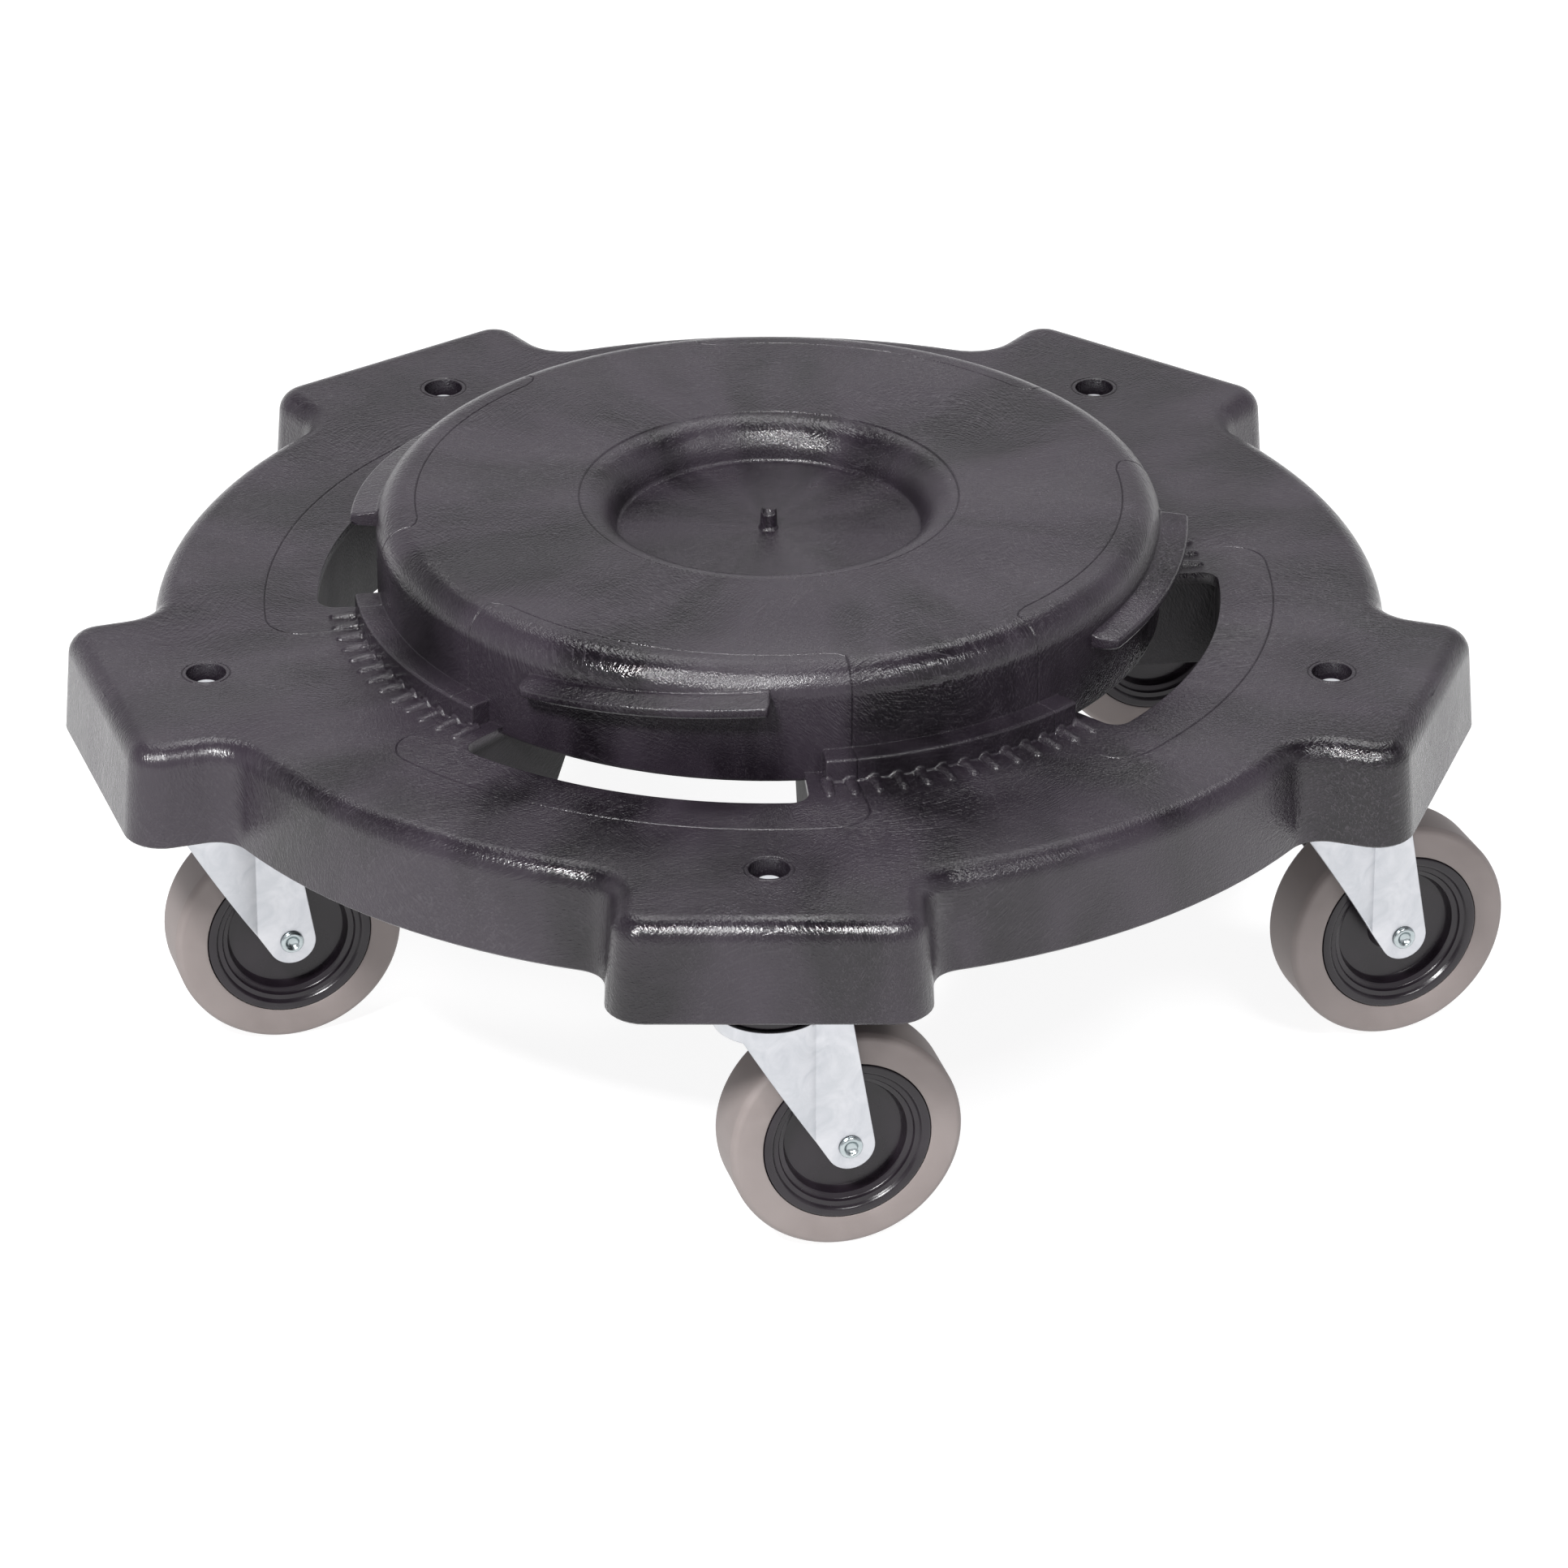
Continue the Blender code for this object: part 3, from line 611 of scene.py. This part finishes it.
def lug_section(share, middle):
    """The lug's cross-section. Its low end swells out of the disc, and its high end is cut square."""
    inner = DISC_RADIUS - PLATE / 2
    wall = DISC_RADIUS - 0.0004
    start = min(1.0, min(share / 0.05, (1 - share) / 0.02 + 0.3))
    swell = sqrt(max(0.0, 1 - (1 - start) ** 2))
    reach = wall + (LUG_REACH - wall) * max(0.03, swell)
    climb = LUG_CLIMB * (share - 0.5)
    low, high = LUG_HEIGHTS[0] + climb, LUG_HEIGHTS[1] + climb
    round_ = min(0.0010, 0.45 * (reach - inner))
    under = min(0.0017, 0.45 * (reach - inner))
    fall = 0.10 * (reach - wall)
    points = [(inner, low - 0.0004)] + arc(reach - under, low + under, under, -pi / 2, 0, 5)
    points += arc(reach - round_, high - round_, round_, 0, radians(84), 5)
    fillet = LUG_FILLET
    points += arc(wall + fillet, high + fall + fillet, fillet, -pi / 2, -pi, 6)
    points += [(inner, high + fall + fillet)]
    return (middle + LUG_HALF_SPAN * (2 * share - 1), points)


def tooth_rise(offset):
    """How high the teeth stand at the ledge's foot, at an angle from the ledge's middle."""
    nearest = round(offset / TOOTH_PITCH)
    aside = abs(offset / TOOTH_PITCH - nearest) * TOOTH_PITCH * LEDGE_REACH / TOOTH_HALF_WIDTH
    if abs(nearest) > TEETH // 2 or aside >= 1:
        return 0.0
    return TOOTH_ROOT * sqrt(1 - aside * aside)


def ledge_section(share, middle):
    """The ledge's cross-section, with a small fillet at its foot that runs up and over the teeth."""
    inner = DISC_RADIUS - PLATE / 2
    ends = min(share, 1 - share) * 2 * LEDGE_HALF_SPAN * LEDGE_REACH
    shrink = 0.0008 * (1 - sqrt(max(0.0, 1 - (1 - min(1.0, ends / 0.0008)) ** 2)))
    round_ = 0.0010
    reach, top = LEDGE_REACH - shrink, LEDGE_TOP - shrink
    foot = tooth_rise(LEDGE_HALF_SPAN * (2 * share - 1))
    points = [(inner, -PLATE / 2), (reach + 0.0008, -PLATE / 2), (reach + 0.0008, foot)]
    points += [(reach + 0.0003, foot + 0.0002), (reach, foot + 0.0007)]
    points += arc(reach - round_, top - round_, round_, 0, pi / 2, 4) + [(inner, top)]
    return (middle + LEDGE_HALF_SPAN * (2 * share - 1), points)


def tooth(name, angle, collection):
    """A low loaf on the ring at the ledge's foot, with a rounded outer end."""
    rings = []
    deep = -0.0012
    start, bend = LEDGE_REACH - 0.002, TOOTH_END - 0.0026
    stations = [start, LEDGE_REACH, LEDGE_REACH + 0.003]
    stations += [bend + (TOOTH_END - bend) * sin(pi / 2 * k / 5) for k in range(6)]
    for r in stations:
        share = max(0.0, (r - bend) / (TOOTH_END - bend))
        shrink = max(0.08, sqrt(max(0.0, 1 - share * share)))
        fall = min(1.0, max(0.0, (r - LEDGE_REACH) / (bend - LEDGE_REACH)))
        height = (TOOTH_ROOT + (TOOTH_TIP - TOOTH_ROOT) * fall) * shrink
        half_width = TOOTH_HALF_WIDTH * (1 - 0.12 * fall) * shrink
        top = [(half_width * cos(pi * k / 8), max(0.0001, height * sin(pi * k / 8))) for k in range(9)]
        section = [(half_width, deep)] + top + [(-half_width, deep)]
        rings.append([(r, y, z) for y, z in section])
    made = rings_mesh(name, rings, collection)
    made.matrix_basis = Matrix.Rotation(angle, 4, "Z")
    return made


def groove(name, path, half_width, depth, collection):
    """A closed thin V along a path of (point, outward normal), to be cut from the surface."""
    rings = []
    count = len(path)
    for index in range(count):
        point, normal = Vector(path[index][0]), Vector(path[index][1]).normalized()
        before, after = Vector(path[index - 1][0]), Vector(path[(index + 1) % count][0])
        along = (after - before).normalized()
        side = along.cross(normal).normalized() * half_width
        rings.append([
            tuple(point - side + normal * 0.0002),
            tuple(point - normal * depth),
            tuple(point + side + normal * 0.0002),
        ])
    return rings_mesh(name, rings, collection, loop=True)


def seam_path(middle):
    """The joint line of a mould insert: round a slot on the ring, up the disc's side and over its top."""
    half = SEAM_HALF_SPAN
    path = [((x, y, 0.0), (0, 0, 1)) for x, y in rounded_end(SEAM_REACH, SEAM_CORNER, half, 36)]
    side = [((LEDGE_REACH + 0.004, 0.0), (0, 1)), ((LEDGE_REACH + 0.0006, 0.0), (0, 1))]
    side += [((LEDGE_REACH, 0.0006), (1, 0.5)), ((LEDGE_REACH, LEDGE_TOP - 0.0012), (1, 0.2))]
    side += [((LEDGE_REACH - 0.0003, LEDGE_TOP - 0.0003), (1, 1))]
    side += [((LEDGE_REACH - 0.0012, LEDGE_TOP), (0.2, 1)), ((DISC_RADIUS + 0.0006, LEDGE_TOP), (0.5, 1))]
    side += [((DISC_RADIUS, LEDGE_TOP + 0.0006), (1, 0.5))]
    shoulder = DISC_RADIUS - DISC_ROUNDING
    for step in range(9):
        angle = pi / 2 * step / 8
        r = shoulder + DISC_ROUNDING * cos(angle)
        z = DISC_TOP - DISC_ROUNDING + DISC_ROUNDING * sin(angle)
        side.append(((r, z), (cos(angle), sin(angle))))

    def placed(angle, items):
        c, s = cos(angle), sin(angle)
        return [((r * c, r * s, z), (n * c, n * s, m)) for (r, z), (n, m) in items]

    path += placed(half, side)
    corner = SEAM_TOP_CORNER / SEAM_TOP_RADIUS
    near = [((SEAM_TOP_RADIUS + 0.0012, DISC_TOP), (0, 1))]
    over = [((SEAM_TOP_RADIUS, DISC_TOP), (0, 1))]
    path += placed(half - 0.35 * corner, near)
    for step in range(41):
        path += placed((half - corner) * (1 - 2 * step / 40), over)
    path += placed(-half + 0.35 * corner, near)
    path += placed(-half, side[::-1])
    turned = []
    for point, normal in path:
        x, y = turn_point(point[:2], middle)
        nx, ny = turn_point(normal[:2], middle)
        turned.append(((x, y, point[2]), (nx, ny, normal[2])))
    return turned


def gusset(name, angle, collection):
    """An upright rib at a slot's end, from under the disc out to the collar."""
    inside = DISC_RADIUS - PLATE / 2
    outside = COLLAR_INSIDE + PLATE / 2
    top = DISC_TOP - PLATE / 2
    outline = [(GUSSET_INNER, GUSSET_BOTTOM / 2), (GUSSET_INNER + 0.007, GUSSET_BOTTOM + 0.004)]
    outline += [(GUSSET_HEEL, GUSSET_BOTTOM), (outside, GUSSET_BOTTOM), (outside, -PLATE / 2)]
    outline += [(inside, -PLATE / 2), (inside, top - DISC_ROUNDING), (inside - DISC_ROUNDING, top)]
    rib = prism(name, outline + [(GUSSET_INNER, top)], -GUSSET_WALL / 2, GUSSET_WALL / 2, collection)
    rib.matrix_basis = Matrix.Rotation(angle, 4, "Z") @ Matrix.Rotation(pi / 2, 4, "X")


def gate_form(collection):
    """The stub where the moulding was cut from its gate, torn off so that two horns stand at its rim."""
    floor = DISC_TOP - DISH_DEPTH
    rings = []
    levels = [(-0.002, 1.16, 0.0), (0.0003, 1.16, 0.0), (0.0011, 1.0, 0.0), (0.0042, 0.95, 0.0)]
    levels += [(0.0052, 0.90, 0.5), (0.0056, 0.80, 1.0), (0.0050, 0.60, 0.15), (0.0046, 0.25, 0.0)]
    for height, share, torn in levels:
        ring = []
        for step in range(GATE_SIDES):
            angle = 2 * pi * step / GATE_SIDES
            wobble = noise.noise(Vector((cos(angle) * 1.4, sin(angle) * 1.4, height * 300)))
            r = GATE_RADIUS * share * (1 + 0.10 * wobble)
            rise = torn * (GATE_HORN * cos(angle + 0.2) ** 6 + 0.0005 * wobble)
            ring.append((r * cos(angle), r * sin(angle), floor + height + rise))
        rings.append(ring)
    return rings_mesh("gate", rings, collection)


def add_quarters(slots, additions, seams):
    """The twist lock's four repeats: a slot under a lug, a toothed ledge beside it, and their ribs."""
    lug_shares = [0.0, 0.002, 0.006, 0.012, 0.02, 0.03, 0.04, 0.05]
    lug_shares += [0.05 + 0.93 * k / 22 for k in range(1, 23)] + [0.985, 0.991, 0.996, 1.0]
    ends = [0.0, 0.0015, 0.004, 0.009]
    ledge_shares = ends + [0.012 + 0.976 * k / 130 for k in range(131)]
    ledge_shares += [1 - share for share in reversed(ends)]
    behind = SLOT_HALF_SPAN + (GUSSET_WALL / 2 + 0.001) / COLLAR_INSIDE
    for quarter in range(QUARTERS):
        middle = SLOT_MIDDLE + quarter * pi / 2
        prism(f"slot_{quarter}", slot_outline(middle), SKIRT_BOTTOM - 0.002, 0.002, slots)
        swept(f"lug_{quarter}", [lug_section(share, middle) for share in lug_shares], additions)
        beside = middle + pi / 4
        swept(f"ledge_{quarter}", [ledge_section(share, beside) for share in ledge_shares], additions)
        for index in range(TEETH):
            angle = beside + (index - (TEETH - 1) / 2) * TOOTH_PITCH
            tooth(f"tooth_{quarter}_{index}", angle, additions)
        gusset(f"gusset_{quarter}_first", middle - behind, additions)
        gusset(f"gusset_{quarter}_last", middle + behind, additions)
        groove(f"seam_{quarter}", seam_path(middle), SEAM_HALF_WIDTH, SEAM_DEPTH, seams)


def add_seats(additions, bores, seams):
    """Under each lobe a boss for the caster's stem, crossed ribs about it, and the bore through it."""
    half, top = RIB_WALL / 2, -PLATE / 2
    inward = COLLAR_INSIDE + PLATE / 2 - BOLT_CIRCLE
    outward = LOBE_REACH - PLATE / 2 - BOLT_CIRCLE
    across = LOBE_HALF_WIDTH - PLATE / 2
    boss = [(0, top), (BOSS_RADIUS, top), (BOSS_RADIUS, BOSS_BOTTOM + 0.001)]
    boss += [(BOSS_RADIUS - 0.001, BOSS_BOTTOM), (0, BOSS_BOTTOM)]
    circle = [((x, y, 0.0), (0, 0, 1)) for x, y in arc(0, 0, BORE_RING_RADIUS, 0, 2 * pi, 40)[:-1]]
    for index, name in enumerate(CASTERS):
        angle = FIRST_LOBE + index * LOBE_STEP
        seat = Matrix.Rotation(angle, 4, "Z") @ Matrix.Translation((BOLT_CIRCLE, 0, 0))
        shapes = (
            revolved(f"boss_{name}", boss, 48, additions),
            box(f"radial_rib_{name}", (inward, -half, RIB_BOTTOM), (outward, half, top), additions),
            box(f"cross_rib_{name}", (-half, -across, RIB_BOTTOM + 0.001), (half, across, top), additions),
            cylinder(f"bore_{name}", BORE_RADIUS, 0.01, BOSS_BOTTOM - 0.01, 40, bores),
            groove(f"bore_ring_{name}", circle, BORE_RING_WIDTH, BORE_RING_WIDTH, seams),
        )
        for shape in shapes:
            shape.matrix_basis = seat


def build_deck(material):
    tray = tray_form()
    well = cylinder("well", DISC_RADIUS - PLATE / 2, 0.003, -PLATE - 0.003, DISC_SIDES, cutters)
    slots = collection_named("slots", cutters)
    additions = collection_named("additions", cutters)
    bores = collection_named("bores", cutters)
    seams = collection_named("seams", cutters)
    revolved("disc", disc_profile(), DISC_SIDES, additions)
    inside, outside = COLLAR_INSIDE, COLLAR_INSIDE + PLATE
    low, edge, top = SKIRT_BOTTOM, SKIRT_BOTTOM + COLLAR_EDGE, -PLATE / 2
    collar = [(outside, top), (outside, edge), (outside - COLLAR_EDGE, low)]
    collar += [(inside + COLLAR_EDGE, low), (inside, edge), (inside, top)]
    revolved("collar", collar, DISC_SIDES, additions, closed=True)
    gate_form(additions)
    add_quarters(slots, additions, seams)
    add_seats(additions, bores, seams)
    boolean(tray, "DIFFERENCE", well)
    boolean(tray, "DIFFERENCE", slots)
    boolean(tray, "UNION", additions)
    boolean(tray, "DIFFERENCE", bores)
    boolean(tray, "DIFFERENCE", seams)
    return baked(tray, material)


# Caster forms


def fork_plan(radius, half_width, reach):
    """The fork from above: round behind the kingpin, with straight sides out to the legs' ends."""
    join = asin(half_width / radius)
    return [(reach, -half_width), (reach, half_width)] + arc(0, 0, radius, join, 2 * pi - join, 40)


def fork_side():
    """The fork from the side: its crown and two legs that taper to a round end at the axle."""
    top = CROWN_TOP + 0.002
    front = -2 * CROWN_RADIUS
    lead = atan2(-1, -LEADING_SLOPE) + 2 * pi
    trail = atan2(TRAILING_SLOPE, 1) + 2 * pi
    end = arc(TRAIL, AXLE_HEIGHT, LEG_END, lead, trail, 20)
    (lead_x, lead_z), (trail_x, trail_z) = end[0], end[-1]
    skirt_x = lead_x - (FORK_SKIRT_BOTTOM - lead_z) / LEADING_SLOPE
    top_x = trail_x - (top - trail_z) * TRAILING_SLOPE
    return [(front, top), (front, FORK_SKIRT_BOTTOM), (skirt_x, FORK_SKIRT_BOTTOM)] + end + [(top_x, top)]


def build_fork(material):
    deep = AXLE_HEIGHT - 2 * LEG_END
    reach = TRAIL + 2 * LEG_END
    plan = fork_plan(CROWN_RADIUS, LEG_FACE, reach)
    hollow = fork_plan(CROWN_RADIUS - FORK_WALL, LEG_FACE - FORK_WALL, reach + 0.005)
    fork = prism("fork_form", plan, deep, CROWN_TOP, cutters, 0.0015, 4)
    inside = prism("fork_inside", hollow, deep - 0.005, CROWN_BOTTOM, cutters)
    side = prism("fork_outline", fork_side(), -0.03, 0.03, cutters)
    side.matrix_basis = Matrix.Rotation(pi / 2, 4, "X")
    holes = collection_named("fork_holes", cutters)
    above, below = CROWN_TOP + RACE_DEPTH, CROWN_TOP - RACE_DEPTH
    race = [(RACE_OUTSIDE, above), (RACE_OUTSIDE, CROWN_TOP), (RACE_OUTSIDE - RACE_SLOPE, below)]
    race += [(RACE_INSIDE + RACE_SLOPE, below), (RACE_INSIDE, CROWN_TOP), (RACE_INSIDE, above)]
    revolved("fork_race", race, 48, holes, closed=True)
    cylinder("fork_pin_hole", PIN_HOLE, CROWN_TOP + 0.01, CROWN_BOTTOM - 0.01, 32, holes)
    axle_hole = cylinder("fork_axle_hole", AXLE_HOLE, 0.03, -0.03, 32, holes)
    axle_hole.matrix_basis = Matrix.Translation((TRAIL, 0, AXLE_HEIGHT)) @ Matrix.Rotation(pi / 2, 4, "X")
    boolean(fork, "DIFFERENCE", inside)
    boolean(fork, "INTERSECT", side)
    boolean(fork, "DIFFERENCE", holes)
    return baked(fork, material)


def mirrored(half):
    return half + [(r, -z) for r, z in reversed(half)]


def build_tyre(material):
    """The wheel's outer ring. Its half section runs from the hub to the tread."""
    half = [(0.0277, 0.0106), (0.0281, 0.0109), (0.0300, 0.0110), (0.0335, 0.0111), (0.0352, 0.0109)]
    half += arc(0.0355, 0.0087, 0.0022, radians(85), radians(20), 6)
    half += [(WHEEL_RADIUS - 0.00015, 0.0089), (WHEEL_RADIUS, 0.0080)]
    return baked(revolved("tyre_form", mirrored(half), 128, cutters, closed=True), material, 40)


def build_hub(material):
    """The wheel's centre: a boss, a web and stepped rings out to the tyre."""
    half = [(0.0054, 0.0113), (0.0070, 0.0114), (0.0076, 0.0110), (0.0080, 0.0060), (0.0088, 0.0046)]
    half += [(0.0150, 0.0045), (0.0192, 0.0048), (0.0200, 0.0056), (0.0204, 0.0080), (0.0210, 0.0084)]
    half += [(0.0218, 0.0085), (0.0222, 0.0089), (0.0225, 0.0097), (0.0240, 0.0099), (0.0244, 0.0104)]
    half += [(0.0247, 0.0109), (0.0252, 0.0111), (0.0268, 0.0111), (0.0273, 0.0108), (0.0274, 0.0104)]
    return baked(revolved("hub_form", mirrored(half), 96, cutters, closed=True), material, 40)


def build_axle(material):
    """A riveted pin: each head is a ring round a dimple."""
    seat = LEG_FACE + GAP
    half = [(0, seat - 0.0005), (0.0009, seat - 0.00045), (0.0016, seat - 0.0002), (0.0021, seat + 0.0004)]
    half += [(0.0024, seat + 0.0009), (0.0028, seat + 0.0011), (0.0033, seat + 0.0010)]
    half += [(0.0037, seat + 0.0007), (0.0039, seat + 0.0003), (0.0039, seat), (0.0030, seat)]
    return baked(revolved("axle_form", mirrored(half), 48, cutters), material, 50)


def build_cap(material):
    """The black cap over the fork, with the upper ball race in its underside."""
    top, bottom = CAP_TOP, CROWN_TOP + 0.0004
    roof = bottom + RACE_DEPTH
    profile = [(PIN_HOLE, top), (0.0150, top), (0.0162, top - 0.0004), (0.0168, top - 0.0012)]
    profile += [(0.0170, top - 0.0022), (0.0170, bottom + 0.0006), (0.0166, bottom)]
    profile += [(RACE_OUTSIDE, bottom), (RACE_OUTSIDE - RACE_SLOPE, roof)]
    profile += [(RACE_INSIDE + RACE_SLOPE, roof), (RACE_INSIDE, bottom), (PIN_HOLE, bottom)]
    return baked(revolved("cap_form", profile, 72, cutters, closed=True), material, 40)


def build_stem(material):
    """The kingpin: a necked shank, a flange under the boss and a riveted head under the fork."""
    top, r, neck, rim = -0.0045, STEM_RADIUS, STEM_NECK, STEM_FLANGE
    flange_top, flange_bottom = BOSS_BOTTOM - GAP, CAP_TOP + GAP
    head = WASHER_BOTTOM - GAP
    profile = [(0, top), (neck, top), (r, top - 0.0008), (r, GRIP_TOP), (neck, GRIP_TOP)]
    profile += [(neck, GRIP_BOTTOM), (r, GRIP_BOTTOM), (r, flange_top)]
    profile += [(rim - 0.0004, flange_top), (rim, flange_top - 0.0004)]
    profile += [(rim, flange_bottom + 0.0004), (rim - 0.0004, flange_bottom), (r, flange_bottom)]
    profile += [(r, head), (0.0070, head), (0.0073, head - 0.0004), (0.0071, head - 0.0014)]
    profile += [(0.0062, head - 0.0024), (0.0046, head - 0.0029), (0.0022, head - 0.0030)]
    profile += [(0, head - 0.0030)]
    return baked(revolved("stem_form", profile, 48, cutters), material, 40)


def build_tube(name, inside, outside, top, bottom, material):
    edge = TUBE_EDGE
    profile = [(inside, top), (outside - edge, top), (outside, top - edge), (outside, bottom + edge)]
    profile += [(outside - edge, bottom), (inside, bottom)]
    return baked(revolved(name, profile, 48, cutters, closed=True), material, 40)


def build_balls(material):
    """The bearing's loose balls, as one mesh."""
    bm = bmesh.new()
    for x, y in arc(0, 0, BALL_CIRCLE, 0, 2 * pi, BALLS)[:-1]:
        place = Matrix.Translation((x, y, CROWN_TOP + 0.0002))
        bmesh.ops.create_uvsphere(bm, u_segments=16, v_segments=10, radius=BALL_RADIUS, matrix=place)
    return baked(object_of(bm, "balls_form", cutters), material, 60)


def build_grip_ring(material):
    """A sprung ring round the stem's neck, split along one side."""
    inside, outside, top, bottom = 0.0044, 0.0062, GRIP_TOP - GAP, GRIP_BOTTOM + GAP
    section = [(outside, top), (outside, bottom), (inside, bottom), (inside, top)]
    angles = [GRIP_SPLIT + (2 * pi - 2 * GRIP_SPLIT) * step / 40 for step in range(41)]
    return baked(swept("grip_ring_form", [(angle, section) for angle in angles], cutters), material, 40)


deck_plastic = deck_material()
hub_plastic = hub_material()
tyre_rubber = tyre_material()
zinc = zinc_material("zinc_plate", 1.0)
dull_zinc = zinc_material("dull_zinc_plate", 0.3)
steel = steel_material()
nylon = nylon_material()

piece("deck_moulding", build_deck(deck_plastic), "deck", "deck", Matrix.Translation(AXIS))

half_sleeve = LEG_FACE - FORK_WALL - GAP
washer_form = build_tube("washer_form", PIN_HOLE, 0.0085, CROWN_BOTTOM - GAP, WASHER_BOTTOM, zinc)
sleeve_form = build_tube("sleeve_form", AXLE_HOLE, 0.0050, half_sleeve, -half_sleeve, nylon)
# Each caster piece: its mesh, where it stands and what it rides on, and its material slot.
FORMS = {
    "stem": (build_stem(dull_zinc), "deck", "zinc"),
    "grip_ring": (build_grip_ring(steel), "deck", "bearing_steel"),
    "bearing_cap": (build_cap(hub_plastic), "deck", "hub_plastic"),
    "ball_ring": (build_balls(steel), "swivel", "bearing_steel"),
    "kingpin_washer": (washer_form, "swivel", "zinc"),
    "fork": (build_fork(zinc), "swivel", "zinc"),
    "axle": (build_axle(steel), "swivel_axle", "zinc"),
    "sleeve": (sleeve_form, "swivel_axle", "nylon"),
    "hub": (build_hub(hub_plastic), "wheel", "hub_plastic"),
    "tyre": (build_tyre(tyre_rubber), "wheel", "tyre_rubber"),
}
joints = {joint["name"]: joint for joint in frame["joints"]}
for caster in CASTERS:
    swivel, roll = joints[f"{caster}_caster_swivel"], joints[f"{caster}_wheel_roll"]
    x, y = swivel["pos_m"][:2]
    axis = Vector(roll["axis"])
    turn = atan2(-axis.x, axis.y)
    on_swivel = Matrix.Translation((x, y, RING_HEIGHT)) @ Matrix.Rotation(turn, 4, "Z")
    on_axle = Matrix.Translation(roll["pos_m"]) @ Matrix.Rotation(turn, 4, "Z")
    on_axle = on_axle @ Matrix.Rotation(-pi / 2, 4, "X")
    for form, (mesh, where, slot) in FORMS.items():
        body = "deck" if where == "deck" else f"{caster}_{where.split('_')[0]}"
        matrix = on_axle if where in ("swivel_axle", "wheel") else on_swivel
        piece(f"{caster}_{form}_piece", mesh, body, f"{caster}_{form}", matrix)


# Stage


def area_light(name, azimuth, elevation, distance, size, power):
    """A square soft light aimed at the dolly. Azimuth and elevation say where it hangs, in degrees."""
    light = bpy.data.lights.new(name, "AREA")
    light.shape = "SQUARE"
    light.size = size
    light.energy = power
    a, e = radians(azimuth), radians(elevation)
    away = Vector((cos(a) * cos(e), sin(a) * cos(e), sin(e)))
    made = bpy.data.objects.new(name, light)
    made.location = AXIS + away * distance
    made.rotation_mode = "QUATERNION"
    made.rotation_quaternion = (-away).to_track_quat("-Z", "Y")
    bpy.context.scene.collection.objects.link(made)


def floor_material():
    n = Nodes("pale_floor")
    place = n.place()
    cloud = n.noise(place, 3.0, 2.0)
    n.tint(cloud, 0.3, 0.7, FLOOR_TONES)
    n.shader.inputs["Emission Color"].default_value = WHITE
    n.shader.inputs["Emission Strength"].default_value = FLOOR_GLOW
    n.shader.inputs["Roughness"].default_value = 0.9
    n.shader.inputs["Specular IOR Level"].default_value = 0.1
    return n.material


def build_floor():
    bm = bmesh.new()
    bmesh.ops.create_grid(bm, x_segments=8, y_segments=8, size=6.0)
    floor = object_of(bm, "floor", bpy.context.scene.collection)
    floor.data.materials.append(floor_material())


def build_backdrop():
    """A studio that is bright towards the horizon and dark above, so that level tops shine evenly."""
    world = bpy.data.worlds.new("studio")
    bpy.context.scene.world = world
    world.use_nodes = True
    tree = world.node_tree
    background = tree.nodes["Background"]
    direction = tree.nodes.new("ShaderNodeTexCoord")
    height = tree.nodes.new("ShaderNodeSeparateXYZ")
    fade = tree.nodes.new("ShaderNodeMapRange")
    fade.inputs["From Min"].default_value = FADE_START
    fade.inputs["From Max"].default_value = FADE_END
    fade.inputs["To Min"].default_value = LOW_STRENGTH
    fade.inputs["To Max"].default_value = HIGH_STRENGTH
    tree.links.new(direction.outputs["Generated"], height.inputs[0])
    tree.links.new(height.outputs["Z"], fade.inputs["Value"])
    tree.links.new(fade.outputs[0], background.inputs["Strength"])
    background.inputs["Color"].default_value = BACKDROP_TONE


def build_camera():
    camera_data = bpy.data.cameras.new("camera")
    camera_data.sensor_width = SENSOR_WIDTH
    camera_data.lens = LENS
    camera = bpy.data.objects.new("camera", camera_data)
    bpy.context.scene.collection.objects.link(camera)
    camera.location = AXIS + CAMERA_OFFSET
    camera.rotation_mode = "QUATERNION"
    camera.rotation_quaternion = (TARGET_OFFSET - CAMERA_OFFSET).to_track_quat("-Z", "Y")
    bpy.context.scene.camera = camera


build_floor()
build_backdrop()
area_light("key_front_left", -115, 45, 2.4, 0.36, 80)
area_light("fill_front_right", -60, 46, 2.6, 0.5, 24)
area_light("top", 90, 66, 2.6, 1.2, 26)
build_camera()
bpy.context.scene.view_settings.view_transform = "Standard"
